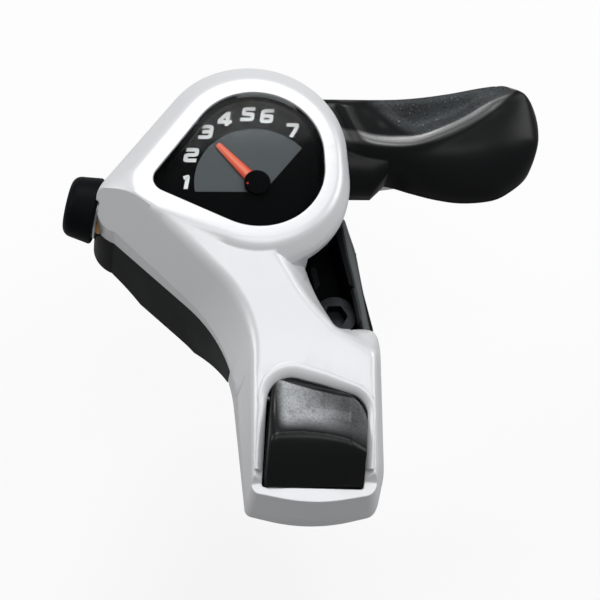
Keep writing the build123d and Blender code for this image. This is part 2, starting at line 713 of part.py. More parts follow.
def clamp_bolt():
    """Socket-head bolt of the handlebar clamp."""
    head = disc(BOLT_HEAD_RADIUS, BOLT_SEAT, BOLT_SEAT + 5, BOLT_XY)
    head = chamfer(head.edges().group_by(Axis.Z)[-1], 0.4)
    socket = Pos(*BOLT_XY) * RegularPolygon(2.0, 6, major_radius=False)
    return head - prism(socket, BOLT_SEAT + 2.4, 0) + disc(BOLT_RADIUS, BOLT_TIP, BOLT_SEAT, BOLT_XY)


def clamp_nut():
    """Hexagon nut held in the clamp's lower ear."""
    outline = RegularPolygon(NUT_FLAT / 2, 6, major_radius=False) - Circle(BOLT_RADIUS)
    return prism(Pos(*BOLT_XY) * outline, EAR_BOTTOM, EAR_BOTTOM + 4)


def cover_screws():
    """Three screws from below through the base into the cover."""
    screws = []
    for at in COVER_SCREWS:
        head = disc(COVER_HEAD_RADIUS, FLOOR_BOTTOM - COVER_HEAD_HEIGHT, FLOOR_BOTTOM, at)
        screws.append(head + disc(COVER_SCREW_RADIUS, FLOOR_BOTTOM, COVER_SCREW_TOP, at))
    return Compound(children=screws)


def adjuster_knob():
    """Tapered knob with a socket for the cable's casing."""
    corners = ((0, KNOB_BACK), (KNOB_RADIUS, KNOB_BACK), (KNOB_TIP_RADIUS, KNOB_END), (0, KNOB_END))
    side = FilletPolyline(*corners, radius=[KNOB_BACK_ROUND, KNOB_TIP_ROUND])
    profile = make_face([*side.edges(), Line(side @ 1, side @ 0)])
    body = adjuster_plane(0) * revolve(Plane.XZ * profile, Axis.Z)
    body -= adjuster_rod(CASING_RADIUS, KNOB_END - CASING_DEPTH, KNOB_END + 1)
    return body - adjuster_rod(SPIGOT_RADIUS, KNOB_BACK - 1, KNOB_END - CASING_DEPTH)


def adjuster_screw():
    """Hollow screw with a spigot that the knob is pressed on."""
    screw = adjuster_rod(STEM_RADIUS, STEM_START, KNOB_BACK)
    screw += adjuster_rod(SPIGOT_RADIUS, KNOB_BACK, KNOB_END - CASING_DEPTH)
    return screw - adjuster_rod(1.0, 0, KNOB_END)


def stem_hole():
    """Bore in which the adjuster's screw turns."""
    return adjuster_rod(STEM_RADIUS + RUNNING_FIT, 0, KNOB_END)


def adjuster_bush():
    """Threaded sleeve held between the cover and the base."""
    return adjuster_rod(BUSH_RADIUS, BUSH_START, ADJUSTER_SEAT) - stem_hole()


def adjuster_washer():
    """Spring washer behind the knob."""
    return adjuster_rod(WASHER_RADIUS, ADJUSTER_SEAT, KNOB_BACK - 0.1) - stem_hole()


def base_outline():
    """Plan of the base: the turret, the neck and the pocket for the clamp bolt."""
    pocket = make_face(Polyline((0, -2.7), *POCKET_SIDE, (0, -36.0), close=True))
    outline = hull(TURRET_CIRCLES) + rounded(NECK_FOOT) + pocket
    return outline & Pos(0, BASE_END_Y + 50) * Rectangle(200, 100)


def rising_end(wall=0.0):
    """Block under the base's free end, whose underside rises towards the button."""
    start, end = (RISE_Y + wall, BASE_BOTTOM), (BASE_END_Y + wall, RISE_Z)
    edge = Polyline(start, end, (-80, RISE_Z), (-80, BASE_BOTTOM), close=True)
    return along_x(make_face(edge), -80, RISE_X + wall)


def clamp():
    """Split ring round the handlebar with two ears for the bolt."""
    ring = x_rod(CLAMP_RADIUS, BAR_X - CLAMP_WIDTH / 2, BAR_X + CLAMP_WIDTH / 2, BAR_Y, BAR_Z)
    end = BOLT_XY[1] - EAR_HALF_WIDTH
    ears = Polyline((BAR_Y, EAR_BOTTOM), (end, EAR_BOTTOM), (end, BOLT_SEAT), (BAR_Y, BOLT_SEAT), close=True)
    return ring + along_x(make_face(ears), BOLT_XY[0] - EAR_HALF_WIDTH, BOLT_XY[0] + EAR_HALF_WIDTH)


def base_bracket():
    """Base moulding with the clamp, the adjuster's cradle, screw posts and the tongue under the button."""
    outline = base_outline()
    hollow = offset(outline, -WALL, kind=Kind.ARC)
    base = prism(outline, BASE_BOTTOM, PARTING_Z) - rising_end()
    base -= prism(hollow, FLOOR_TOP, 0) - rising_end(WALL)
    base -= prism(hollow, -60, FLOOR_BOTTOM)
    base -= sector(-16, 104, 60, FLOOR_TOP, 0)
    base += clamp()
    for at in COVER_SCREWS:
        base += disc(POST_RADIUS, FLOOR_TOP, PARTING_Z, at)
    base += prism(hull(POCKET_RIB), FLOOR_TOP, POCKET_RIB_TOP)
    cradle_middle = (FLOOR_TOP + PARTING_Z) / 2 - ADJUSTER_Z
    cradle = adjuster_plane(14.0) * Pos(cradle_middle, 0) * Rectangle(PARTING_Z - FLOOR_TOP, 11.0)
    base += extrude(cradle, amount=ADJUSTER_SEAT - 14.0) & prism(outline, FLOOR_TOP, PARTING_Z)
    base += neck_cavity(0.1) & Pos(0, BASE_END_Y - 50 + WALL, END_Z) * Box(200, 100, 1.6)
    base -= x_rod(BORE_RADIUS, -100, 100, BAR_Y, BAR_Z)
    base -= x_rod(BORE_RADIUS + SADDLE_RELIEF, -100, BAR_X - CLAMP_WIDTH / 2, BAR_Y, BAR_Z)
    base -= x_rod(BORE_RADIUS + SADDLE_RELIEF, BAR_X + CLAMP_WIDTH / 2, 100, BAR_Y, BAR_Z)
    base -= Pos(BAR_X, BAR_Y - 30 - BORE_RADIUS / 2, BAR_Z) * Box(40, 60, CLAMP_SPLIT)
    base -= disc(BOLT_RADIUS + 0.2, -60, 0, BOLT_XY)
    base -= prism(Pos(*BOLT_XY) * RegularPolygon(NUT_FLAT / 2, 6, major_radius=False), -60, EAR_BOTTOM + 4)
    base -= disc(BOLT_HEAD_RADIUS + 0.6, BOLT_SEAT, 0, BOLT_XY)
    base -= disc(AXLE_RADIUS + RUNNING_FIT, -40, 0)
    base -= disc(LEVER_SCREW_RADIUS, -40, 0, HOLD_PIN)
    for at in COVER_SCREWS:
        base -= disc(COVER_SCREW_RADIUS + SCREW_CLEARANCE, -40, 0, at)
        base -= disc(COVER_HEAD_RADIUS + SCREW_CLEARANCE, -60, FLOOR_BOTTOM, at)
    base -= adjuster_rod(BUSH_RADIUS, 8, ADJUSTER_SEAT + 1)
    base -= adjuster_rod(KNOB_RADIUS + 0.5, ADJUSTER_SEAT, 60)
    return base - Pos(2.5, BASE_END_Y + WALL / 2, PAWL_TOP) * Box(9.0, WALL + 1, 5.0)


nodes = {
    "top_cover": top_cover(),
    "dial_window": dial_window(),
    "dial_plate": dial_plate(),
    "pointer": pointer(),
    "pointer_hub": pointer_hub(),
    "pointer_carrier": pointer_carrier(),
    "cable_drum": cable_drum(),
    "ratchet_ring": ratchet_ring(),
    "pivot_axle": pivot_axle(),
    "axle_nut": axle_nut(),
    "axle_washer": axle_washer(),
    "thrust_washer": thrust_washer(),
    "lever_plate": lever_plate(),
    "lever_bush": lever_bush(),
    "thumb_paddle": thumb_paddle(),
    "lever_screws": lever_screws(),
    "lever_spring": coil(6.8, 0.5, FLOOR_TOP, 2.2, 1.05),
    "feed_pawl": pawl(FEED_PIN, (1.48, 14.12, 0.9)),
    "feed_pawl_pin": feed_pawl_pin(),
    "feed_pawl_spring": coil(2.0, 0.25, PAWL_TOP, 2.5, 0.65, FEED_PIN),
    "holding_pawl": pawl(HOLD_PIN, (0.5, -14.2, 0.9), (-10.0, -17.2, 1.0)),
    "holding_pawl_pin": holding_pawl_pin(),
    "holding_pawl_spring": coil(2.6, 0.3, FLOOR_TOP, 4, 1.2, HOLD_PIN),
    "release_link": release_link(),
    "release_button": release_button(),
    "button_pin": button_pin(),
    "button_spring": coil(2.6, 0.35, END_Z + 0.8, 4, 2.2, BUTTON_SPRING_AT),
    "adjuster_knob": adjuster_knob(),
    "adjuster_screw": adjuster_screw(),
    "adjuster_bush": adjuster_bush(),
    "adjuster_washer": adjuster_washer(),
    "clamp_bolt": clamp_bolt(),
    "clamp_nut": clamp_nut(),
    "cover_screws": cover_screws(),
    "base_bracket": base_bracket(),
}

os.makedirs("parts", exist_ok=True)
for name, shape in nodes.items():
    export_step(PLACE * shape, f"parts/{name}.step")
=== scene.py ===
"""Looks of a thumb-lever index gear shifter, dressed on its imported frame.

Every length is in metres in the frame's own axes: the origin is the middle of the handlebar clamp,
x runs along the handlebar, y points forward and z points out of the dial. Sizes that are easier to
read in millimetres are written with MM. Points of plan lines are in millimetres from the datum on
the drum's axis.
"""

from __future__ import annotations

import json
import logging
import math
from dataclasses import dataclass, field
from enum import Enum

import bpy
import numpy as np
from bpy.types import Material, Node, NodeSocket, Object
from mathutils import Matrix, Vector

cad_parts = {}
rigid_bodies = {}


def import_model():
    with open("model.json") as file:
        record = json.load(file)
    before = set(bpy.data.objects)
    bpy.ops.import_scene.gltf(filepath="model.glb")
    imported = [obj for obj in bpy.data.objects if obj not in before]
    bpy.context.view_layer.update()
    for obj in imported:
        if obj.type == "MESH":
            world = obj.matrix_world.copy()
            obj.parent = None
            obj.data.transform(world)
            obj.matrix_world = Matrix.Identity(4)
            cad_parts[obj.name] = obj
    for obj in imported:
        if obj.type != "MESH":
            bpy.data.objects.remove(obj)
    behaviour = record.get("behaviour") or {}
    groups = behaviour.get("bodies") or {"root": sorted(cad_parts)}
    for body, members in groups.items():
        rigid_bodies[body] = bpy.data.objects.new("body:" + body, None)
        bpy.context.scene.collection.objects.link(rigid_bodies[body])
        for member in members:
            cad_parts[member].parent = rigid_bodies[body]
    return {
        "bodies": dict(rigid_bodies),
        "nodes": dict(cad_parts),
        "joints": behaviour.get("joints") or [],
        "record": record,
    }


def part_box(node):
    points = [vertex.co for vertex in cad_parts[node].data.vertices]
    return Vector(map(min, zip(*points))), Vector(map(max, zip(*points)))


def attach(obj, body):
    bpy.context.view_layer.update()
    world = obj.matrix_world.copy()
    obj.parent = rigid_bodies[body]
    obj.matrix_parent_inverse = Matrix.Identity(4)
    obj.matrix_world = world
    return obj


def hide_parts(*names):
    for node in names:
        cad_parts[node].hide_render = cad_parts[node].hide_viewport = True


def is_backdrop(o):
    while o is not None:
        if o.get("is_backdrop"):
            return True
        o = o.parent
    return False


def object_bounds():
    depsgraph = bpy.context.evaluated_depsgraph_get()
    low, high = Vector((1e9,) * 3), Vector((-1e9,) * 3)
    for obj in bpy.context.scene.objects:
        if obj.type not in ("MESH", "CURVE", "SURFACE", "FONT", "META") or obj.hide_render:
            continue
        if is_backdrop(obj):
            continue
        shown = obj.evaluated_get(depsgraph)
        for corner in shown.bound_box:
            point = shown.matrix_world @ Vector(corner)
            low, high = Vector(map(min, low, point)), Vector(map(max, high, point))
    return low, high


LOG = logging.getLogger("shifter")
MM = 0.001
Array = np.ndarray
Colour = tuple[float, float, float, float]
Line = tuple[tuple[float, ...], ...]
Paint = Colour | NodeSocket
Shape = tuple[Array, Array | list]
SHARP = math.radians(35)


def srgb(red: int, green: int, blue: int) -> Colour:
    """Turns a screen colour into linear light.

    Args:
        red: Red from 0 to 255.
        green: Green from 0 to 255.
        blue: Blue from 0 to 255.

    Returns:
        The linear colour with full opacity.
    """
    parts = [part / 255 for part in (red, green, blue)]
    linear = [part / 12.92 if part <= 0.04045 else ((part + 0.055) / 1.055) ** 2.4 for part in parts]
    return (*linear, 1.0)


def tinted(colour: Colour, scale: float, lift: float = 0.0) -> Colour:
    """Colour whose parts are scaled and lifted, and kept at 1 or less."""
    return (*(min(1.0, part * scale + lift) for part in colour[:3]), 1.0)


class Value:
    """A shader socket that Python expressions can be written with."""

    def __init__(self, shader: Shader, socket: NodeSocket) -> None:
        """Keeps the shader that the socket belongs to and the socket itself."""
        self.shader = shader
        self.socket = socket

    def _math(self, operation: str, *operands: Value | float) -> Value:
        """Result of one Math node with the operands in order."""
        node = self.shader.node("ShaderNodeMath", dict(enumerate(operands)), operation=operation)
        return Value(self.shader, node.outputs[0])

    def __add__(self, other: Value | float) -> Value:
        """Sum."""
        return self._math("ADD", self, other)

    __radd__ = __add__

    def __sub__(self, other: Value | float) -> Value:
        """Difference."""
        return self._math("SUBTRACT", self, other)

    def __rsub__(self, other: float) -> Value:
        """Difference from a number."""
        return self._math("SUBTRACT", other, self)

    def __mul__(self, other: Value | float) -> Value:
        """Product."""
        return self._math("MULTIPLY", self, other)

    __rmul__ = __mul__

    def __abs__(self) -> Value:
        """Size without sign."""
        return self._math("ABSOLUTE", self)

    def step(self, low: float, high: float) -> Value:
        """Rises smoothly from 0 at low to 1 at high.

        Args:
            low: Where the rise starts.
            high: Where it ends.

        Returns:
            A mask between 0 and 1.
        """
        inputs = {"Value": self, "From Min": low, "From Max": high}
        node = self.shader.node("ShaderNodeMapRange", inputs, interpolation_type="SMOOTHSTEP")
        return Value(self.shader, node.outputs["Result"])


class Shader:
    """One material's node tree and the few ways in which nodes are added to it."""

    def __init__(self, name: str) -> None:
        """Starts an empty material.

        Args:
            name: The material's name.
        """
        self.material = bpy.data.materials.new(name)
        self.material.use_nodes = True
        self.tree = self.material.node_tree
        self.tree.nodes.clear()
        self.position = self.node("ShaderNodeTexCoord").outputs["Object"]

    def node(self, kind: str, inputs: dict | None = None, **settings: object) -> Node:
        """Adds a node.

        Args:
            kind: The node's type.
            inputs: Values or links of its sockets, by name or number.
            settings: Its properties.

        Returns:
            The node.
        """
        made = self.tree.nodes.new(kind)
        for name, value in settings.items():
            setattr(made, name, value)
        for name, value in (inputs or {}).items():
            socket = made.inputs[name]
            source = value.socket if isinstance(value, Value) else value
            if isinstance(source, NodeSocket):
                self.tree.links.new(source, socket)
            else:
                socket.default_value = source
        return made

    def noise(self, size: float, detail: float = 2, stretch: tuple[float, ...] = (1, 1, 1)) -> Value:
        """Even noise from 0 to 1.

        Args:
            size: Length of one lump.
            detail: How many finer layers it has.
            stretch: Share of the size along each axis.

        Returns:
            The noise.
        """
        scaled = self.node("ShaderNodeMapping", {"Vector": self.position, "Scale": stretch})
        inputs = {"Vector": scaled.outputs[0], "Scale": 1 / size, "Detail": detail}
        return Value(self, self.node("ShaderNodeTexNoise", inputs).outputs[0])

    def cells(self, size: float) -> Value:
        """Distance from the middle of random cells of a given width, for leather-like grain."""
        inputs = {"Vector": self.position, "Scale": 1 / size}
        return Value(self, self.node("ShaderNodeTexVoronoi", inputs).outputs["Distance"])

    def axis(self, name: str) -> Value:
        """One coordinate of the surface point."""
        return Value(self, self.node("ShaderNodeSeparateXYZ", {0: self.position}).outputs[name])

    def blend(self, share: Value, first: Paint, second: Paint) -> NodeSocket:
        """Mixes two colours by the share of the second."""
        return self.node("ShaderNodeMix", {0: share, 6: first, 7: second}, data_type="RGBA").outputs[2]

    def gloss(self, middle: float, *swings: tuple[Value, float]) -> Value:
        """Roughness that swings about a middle value with noises from 0 to 1, each over its own span."""
        return sum((span * (noise - 0.5) for noise, span in swings), middle)

    def bump(self, height: Value, depth: float, normal: NodeSocket | None = None) -> NodeSocket:
        """Turns a height into a surface normal.

        Args:
            height: Height from 0 to 1.
            depth: Length that a height of 1 stands for.
            normal: A normal to start from.

        Returns:
            The normal's socket.
        """
        inputs = {"Height": height, "Distance": depth, "Strength": 1.0}
        if normal is not None:
            inputs["Normal"] = normal
        return self.node("ShaderNodeBump", inputs).outputs[0]

    def soft_edges(self, radius: float, samples: int = 6) -> NodeSocket:
        """Normal that rounds hard edges by a small radius."""
        return self.node("ShaderNodeBevel", {"Radius": radius}, samples=samples).outputs[0]

    def surface(self, **inputs: object) -> Material:
        """Closes the material with a Principled shader.

        Args:
            inputs: The shader's sockets, with _ for each space in their names.

        Returns:
            The finished material.
        """
        sockets = {name.replace("_", " "): value for name, value in inputs.items()}
        principled = self.node("ShaderNodeBsdfPrincipled", sockets)
        return self.close(principled.outputs[0])

    def close(self, shader: NodeSocket) -> Material:
        """Links a shader to the material's output."""
        self.node("ShaderNodeOutputMaterial", {"Surface": shader})
        return self.material


@dataclass(frozen=True)
class SilverPaint:
    """Satin silver paint with fine flakes over a smooth moulding."""

    colour: Colour = srgb(236, 237, 239)
    shade: Colour = srgb(224, 225, 229)
    metallic: float = 0.18
    roughness: float = 0.34
    cloud: float = 9 * MM
    cloud_tone: float = 0.35
    cloud_gloss: float = 0.05
    flake: float = 0.12 * MM
    flake_tone: float = 0.3
    flake_gloss: float = 0.12
    flake_depth: float = 0.002 * MM
    peel: float = 1.1 * MM
    peel_depth: float = 0.004 * MM
    edge: float = 0.35 * MM

    def material(self) -> Material:
        """Builds the material: cloudy tone, flakes in the gloss and a trace of orange peel."""
        shader = Shader("silver_paint")
        cloud = shader.noise(self.cloud)
        flake = shader.noise(self.flake, detail=1)
        peel = shader.noise(self.peel, detail=1)
        rounded = shader.bump(peel, self.peel_depth, shader.soft_edges(self.edge))
        tone = self.cloud_tone * cloud + self.flake_tone * flake
        return shader.surface(
            Base_Color=shader.blend(tone, self.colour, self.shade),
            Metallic=self.metallic,
            Roughness=shader.gloss(self.roughness, (flake, self.flake_gloss), (cloud, self.cloud_gloss)),
            Normal=shader.bump(flake, self.flake_depth, rounded),
        )


@dataclass(frozen=True)
class Plain:
    """Finish of one colour: by default a moulded plastic with a faint texture from its tool."""

    name: str
    colour: Colour
    roughness: float
    specular: float = 0.3
    metallic: float = 0.0
    texture: float = 0.25 * MM
    texture_detail: int = 2
    texture_stretch: tuple[float, float, float] = (1, 1, 1)
    texture_gloss: float = 0.08
    depth: float = 0.004 * MM
    cloud: float = 6 * MM
    cloud_tone: float = 0.6
    cloud_gloss: float = 0.12
    tint_scale: float = 1.35
    tint_lift: float = 0.002
    edge: float = 0.2 * MM

    def material(self) -> Material:
        """Builds the material: a fine texture, a cloudy tone and gloss, and softened edges."""
        shader = Shader(self.name)
        fine = shader.noise(self.texture, self.texture_detail, self.texture_stretch)
        cloud = shader.noise(self.cloud)
        tint = tinted(self.colour, self.tint_scale, self.tint_lift)
        return shader.surface(
            Base_Color=shader.blend(self.cloud_tone * cloud, self.colour, tint),
            Metallic=self.metallic,
            Roughness=shader.gloss(self.roughness, (cloud, self.cloud_gloss), (fine, self.texture_gloss)),
            Specular_IOR_Level=self.specular,
            Normal=shader.bump(fine, self.depth, shader.soft_edges(self.edge)),
        )


@dataclass(frozen=True)
class Metal(Plain):
    """Plated, blackened or sintered metal: fine drawn lines and a cloudy plating."""

    specular: float = 0.5
    metallic: float = 1.0
    texture: float = 0.4 * MM
    texture_detail: int = 3
    texture_stretch: tuple[float, float, float] = (1, 1, 8)
    texture_gloss: float = 0.18
    depth: float = 0.003 * MM
    cloud: float = 3 * MM
    cloud_tone: float = 0.7
    cloud_gloss: float = 0.1
    tint_scale: float = 0.72
    tint_lift: float = 0.0
    edge: float = 0.1 * MM


@dataclass(frozen=True)
class GrainedPlastic:
    """Black moulding with a pebbled grip area behind a bow that runs across it."""

    name: str
    line_x: float
    line_y: float
    line_rise: float
    line_gap: float
    line_run: float = 0.9 * MM
    grain_from: float = -1.0
    grain_run: float = 4 * MM
    grain_to: float = 1.0
    grain_slant: float = 0.0
    end_run: float = 0.3 * MM
    shaded_left_edge: float = -1.0
    shaded_left_run: float = 2.2 * MM
    fade: float = 0.0
    fade_from: float = -9 * MM
    fade_to: float = 3 * MM
    polish: float = 0.0
    polish_at: float = 0.5 * MM
    polish_width: float = 1.5 * MM
    polish_core: float = 0.3
    polish_roughness: float = 0.3
    polish_ior: float = 2.2
    colour: Colour = srgb(22, 23, 24)
    grain_colour: Colour = srgb(82, 87, 89)
    speck_colour: Colour = srgb(150, 153, 154)
    speck: float = 0.55 * MM
    speck_detail: int = 3
    speck_from: float = 0.66
    speck_to: float = 0.74
    roughness: float = 0.3
    grip_gloss: float = 0.16
    cloud: float = 5 * MM
    cloud_gloss: float = 0.1
    specular: float = 0.16
    pebble: float = 0.42 * MM
    contrast: float = 0.5
    depth: float = 0.05 * MM
    fine: float = 0.15 * MM
    fine_share: float = 0.06
    edge: float = 0.3 * MM

    def material(self) -> Material:
        """Builds the material: smooth in front of the bow, pebbles and light specks behind it."""
        shader = Shader(self.name)
        behind = self._behind(shader)
        grip = self._grip(shader, behind)
        core = self.polish_core * self.polish_width
        ridge = 1 - abs(behind - self.polish_at).step(core, self.polish_width)
        pebbles = 1 - shader.cells(self.pebble)
        fine = shader.noise(self.fine)
        cloud = shader.noise(self.cloud)
        specks = shader.noise(self.speck, self.speck_detail).step(self.speck_from, self.speck_to)
        height = grip * pebbles + self.fine_share * fine
        tone = self.contrast * pebbles + (1 - self.contrast) * cloud
        grained = shader.blend(grip * tone, self.colour, self.grain_colour)
        return shader.surface(
            Base_Color=shader.blend(grip * specks, grained, self.speck_colour),
            Roughness=shader.gloss(self.roughness, (cloud, self.cloud_gloss)) + self.grip_gloss * grip,
            Specular_IOR_Level=self.specular,
            Coat_Weight=self.polish * ridge,
            Coat_Roughness=self.polish_roughness,
            Coat_IOR=self.polish_ior,
            Normal=shader.bump(height, self.depth, shader.soft_edges(self.edge)),
        )

    def _behind(self, shader: Shader) -> Value:
        """Distance behind a bow across the piece, whose y changes with the square of x."""
        aside = shader.axis("X") - self.line_x
        return shader.axis("Y") - self.line_y - self.line_rise * aside * aside

    def _grip(self, shader: Shader, behind: Value) -> Value:
        """Where the grain lies: behind the bow, between slanting ends and right of a left edge, with painted
        shade on the left edge and towards the right.

        Args:
            shader: The material's shader.
            behind: Distance behind the bow.

        Returns:
            1 on the grip area, less towards the right where shade is painted in, and 0 elsewhere.
        """
        x, y = shader.axis("X"), shader.axis("Y")
        start = (x + y).step(self.grain_from, self.grain_from + self.grain_run)
        end = (self.grain_to - y - self.grain_slant * x).step(0.0, self.end_run)
        # Painted shade: left of this edge the button keeps no light grain, so its rolled side stays dark.
        left = x.step(self.shaded_left_edge, self.shaded_left_edge + self.shaded_left_run)
        # Painted shade: the grain, painted light on the button, darkens towards the right.
        painted_right_shade = 1 - self.fade * x.step(self.fade_from, self.fade_to)
        return behind.step(self.line_gap, self.line_gap + self.line_run) * start * end * left * painted_right_shade


@dataclass(frozen=True)
class NeedlePlastic:
    """Translucent-looking orange-red needle with darker sides."""

    colour: Colour = srgb(253, 120, 86)
    side: Colour = srgb(206, 48, 46)
    half_width: float = 1.2 * MM
    core: float = 0.25
    roughness: float = 0.35
    texture: float = 0.2 * MM
    texture_gloss: float = 0.1
    depth: float = 0.003 * MM

    def material(self, pivot: Vector, angle: float) -> Material:
        """Builds the material: the tone darkens away from the needle's middle line.

        Args:
            pivot: The needle's pivot.
            angle: The needle's direction about the pivot.

        Returns:
            The material.
        """
        shader = Shader("needle_orange")
        inputs = {"Vector": shader.position, "Location": tuple(pivot), "Rotation": (0, 0, angle)}
        turned = shader.node("ShaderNodeMapping", inputs, vector_type="TEXTURE")
        parts = shader.node("ShaderNodeSeparateXYZ", {0: turned.outputs[0]})
        edge = abs(Value(shader, parts.outputs["Y"])).step(self.core * self.half_width, self.half_width)
        fine = shader.noise(self.texture, detail=1)
        return shader.surface(
            Base_Color=shader.blend(edge, self.colour, self.side),
            Roughness=shader.gloss(self.roughness, (fine, self.texture_gloss)),
            Normal=shader.bump(fine, self.depth),
        )


@dataclass(frozen=True)
class PrintInk:
    """Screen-printed ink on the dial."""

    name: str
    colour: Colour
    roughness: float = 0.62
    specular: float = 0.2
    speck: float = 0.12 * MM
    speck_tone: float = 0.5
    speck_gloss: float = 0.1
    dulling: float = 0.85
    depth: float = 0.002 * MM

    def material(self) -> Material:
        """Builds the material: a flat ink with a faint mesh of the screen."""
        shader = Shader(self.name)
        speck = shader.noise(self.speck)
        dull = tinted(self.colour, self.dulling)
        return shader.surface(
            Base_Color=shader.blend(self.speck_tone * speck, self.colour, dull),
            Roughness=shader.gloss(self.roughness, (speck, self.speck_gloss)),
            Specular_IOR_Level=self.specular,
            Normal=shader.bump(speck, self.depth),
        )


@dataclass(frozen=True)
class ClearPane:
    """Clear plastic window with a weak, wavy reflection."""

    reflection_ior: float = 1.12
    tint: Colour = (0.97, 0.98, 0.98, 1.0)
    roughness: float = 0.06
    wave: float = 6 * MM
    wave_depth: float = 0.01 * MM

    def material(self) -> Material:
        """Builds the material: transparent, with gloss that grows at a glancing angle."""
        shader = Shader("clear_plastic")
        wave = shader.bump(shader.noise(self.wave, detail=1), self.wave_depth)
        nodes = (
            shader.node("ShaderNodeFresnel", {"IOR": self.reflection_ior, "Normal": wave}),
            shader.node("ShaderNodeBsdfTransparent", {"Color": self.tint}),
            shader.node("ShaderNodeBsdfGlossy", {"Roughness": self.roughness, "Normal": wave}),
        )
        mixed = shader.node("ShaderNodeMixShader", dict(enumerate(node.outputs[0] for node in nodes)))
        return shader.close(mixed.outputs[0])


class Finish(Enum):
    """The finishes of the frame's nodes, by the record's slot names."""

    SILVER = "silver_paint"
    BLACK_PLASTIC = "black_plastic"
    BLACK_SATIN = "black_satin"
    CLEAR = "clear_plastic"
    DIAL = "dial_black"
    NEEDLE = "needle_orange"
    NYLON = "nylon"
    STEEL = "steel"
    DARK_STEEL = "dark_steel"
    BRONZE = "bronze"


def mesh_object(name: str, points: Array, faces: Array | list) -> Object:
    """Puts points and faces into a new object at the origin.

    Args:
        name: The piece's name.
        points: Vertices, one row each.
        faces: Corner numbers, one row or list for each face.

    Returns:
        The object, linked to the scene.
    """
    mesh = bpy.data.meshes.new(name)
    mesh.from_pydata(points.tolist(), [], [list(face) for face in faces])
    mesh.validate()
    mesh.update()
    made = bpy.data.objects.new(name, mesh)
    bpy.context.scene.collection.objects.link(made)
    return made


def add_piece(
    name: str, shape: Shape, material: Material, body: str, node: str | None = None
) -> Object:
    """Adds a smooth piece to a body.

    Args:
        name: The piece's name.
        shape: Its points and faces.
        material: Its material.
        body: The body that it rides on.
        node: The node that it stands for, if any.

    Returns:
        The piece.
    """
    made = mesh_object(name, *shape)
    made.data.shade_smooth()
    made.data.set_sharp_from_angle(angle=SHARP)
    made.data.materials.append(material)
    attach(made, body)
    if node:
        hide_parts(node)
    LOG.info("piece %s rides on %s and stands for %s", name, body, node)
    return made


def lerp(start: Array | float, end: Array | float, share: Array | float) -> Array:
    """Value at a share of the way from start to end."""
    return start + (end - start) * share


def polar(radius: Array | float, angle: Array | float) -> Array:
    """Plan points at a radius and an angle about the origin."""
    return np.stack([radius * np.cos(angle), radius * np.sin(angle)], axis=-1)


def left_of(along: Array) -> Array:
    """Unit vectors square to plan directions, on their left."""
    return np.column_stack([-along[:, 1], along[:, 0]]) / np.linalg.norm(along, axis=1, keepdims=True)


def raised(plan: Array, height: Array | float) -> Array:
    """Plan points with heights of their own."""
    return np.concatenate([plan, np.broadcast_to(height, plan.shape[:-1])[..., None]], axis=-1)


def on_foot(rows: Array, foot: float) -> Array:
    """Rings from rows of points: each row is closed by points at foot height below its two ends."""
    return np.concatenate([rows, raised(rows[:, [-1, 0], :2], foot)], axis=1)


def crowded(count: int) -> Array:
    """Shares from 0 to 1 that lie closer together at both ends: one less the cosine, halved."""
    return 0.5 - 0.5 * np.cos(np.linspace(0, math.pi, count))


def quarter_round(distance: Array, radius: float) -> Array:
    """Drop of a rounded edge at a distance from it."""
    return radius * (1 - np.sqrt(1 - np.clip(1 - distance / radius, 0, 1) ** 2))


def loft(sections: Array) -> Shape:
    """Closed skin through rings of points, with a cap on its first and last ring.

    Args:
        sections: Rings as (ring, point, xyz), each running anticlockwise when seen along their order.

    Returns:
        Points and faces.
    """
    index = np.arange(sections.shape[0] * sections.shape[1]).reshape(sections.shape[:2])
    beside = np.roll(index, -1, axis=1)
    quads = np.stack([index[1:], beside[1:], beside[:-1], index[:-1]], axis=-1).reshape(-1, 4)
    return sections.reshape(-1, 3), [*quads.tolist(), index[0].tolist(), index[-1, ::-1].tolist()]


def slab(sides: Array, bottom: float, top: float) -> Shape:
    """Rectangle between two heights carried along a strip of (station, left or right side, xy)."""
    corners = ((1, bottom), (1, top), (0, top), (0, bottom))
    return loft(np.stack([raised(sides[:, side], height) for side, height in corners], axis=1))


def ease(share: Array) -> Array:
    """Smooth step: three times the square less twice the cube of a share kept between 0 and 1."""
    share = np.clip(share, 0.0, 1.0)
    return share * share * (3 - 2 * share)


def softer(first: Array, second: Array, width: float) -> Array:
    """Lower of two heights, less a quarter of the width times the squared overlap where they meet."""
    overlap = np.maximum(width - np.abs(first - second), 0.0) / width
    return np.minimum(first, second) - overlap**2 * width / 4


def traced(points: Line, count: int) -> Array:
    """Smooth line through points: cubic pieces with half the step between the neighbours as slope.

    Args:
        points: The points to pass, in millimetres.
        count: How many points the line gets.

    Returns:
        The line, one row for each point.
    """
    given = np.array(points) * MM
    slopes = np.gradient(given, axis=0)
    place = np.linspace(0, len(given) - 1, count)
    piece = np.minimum(place.astype(int), len(given) - 2)
    t = (place - piece)[:, None]
    start = (2 * t**3 - 3 * t**2 + 1) * given[piece] + (t**3 - 2 * t**2 + t) * slopes[piece]
    end = (3 * t**2 - 2 * t**3) * given[piece + 1] + (t**3 - t**2) * slopes[piece + 1]
    return start + end


def side_of(line: Array, x: Array, y: Array) -> Array:
    """Distance from a plan line to its nearest point, positive on the line's left.

    Args:
        line: Points of the line.
        x: Places along x.
        y: Places along y.

    Returns:
        The distances, in the shape of x.
    """
    start, step = line[:-1], np.diff(line, axis=0)
    off_x, off_y = x[..., None] - start[:, 0], y[..., None] - start[:, 1]
    share = np.clip((off_x * step[:, 0] + off_y * step[:, 1]) / (step**2).sum(axis=1), 0, 1)
    off_x, off_y = off_x - share * step[:, 0], off_y - share * step[:, 1]
    gap = np.hypot(off_x, off_y)
    nearest = gap.argmin(axis=-1)[..., None]
    signed = np.where(step[:, 0] * off_y > step[:, 1] * off_x, gap, -gap)
    return np.take_along_axis(signed, nearest, axis=-1)[..., 0]


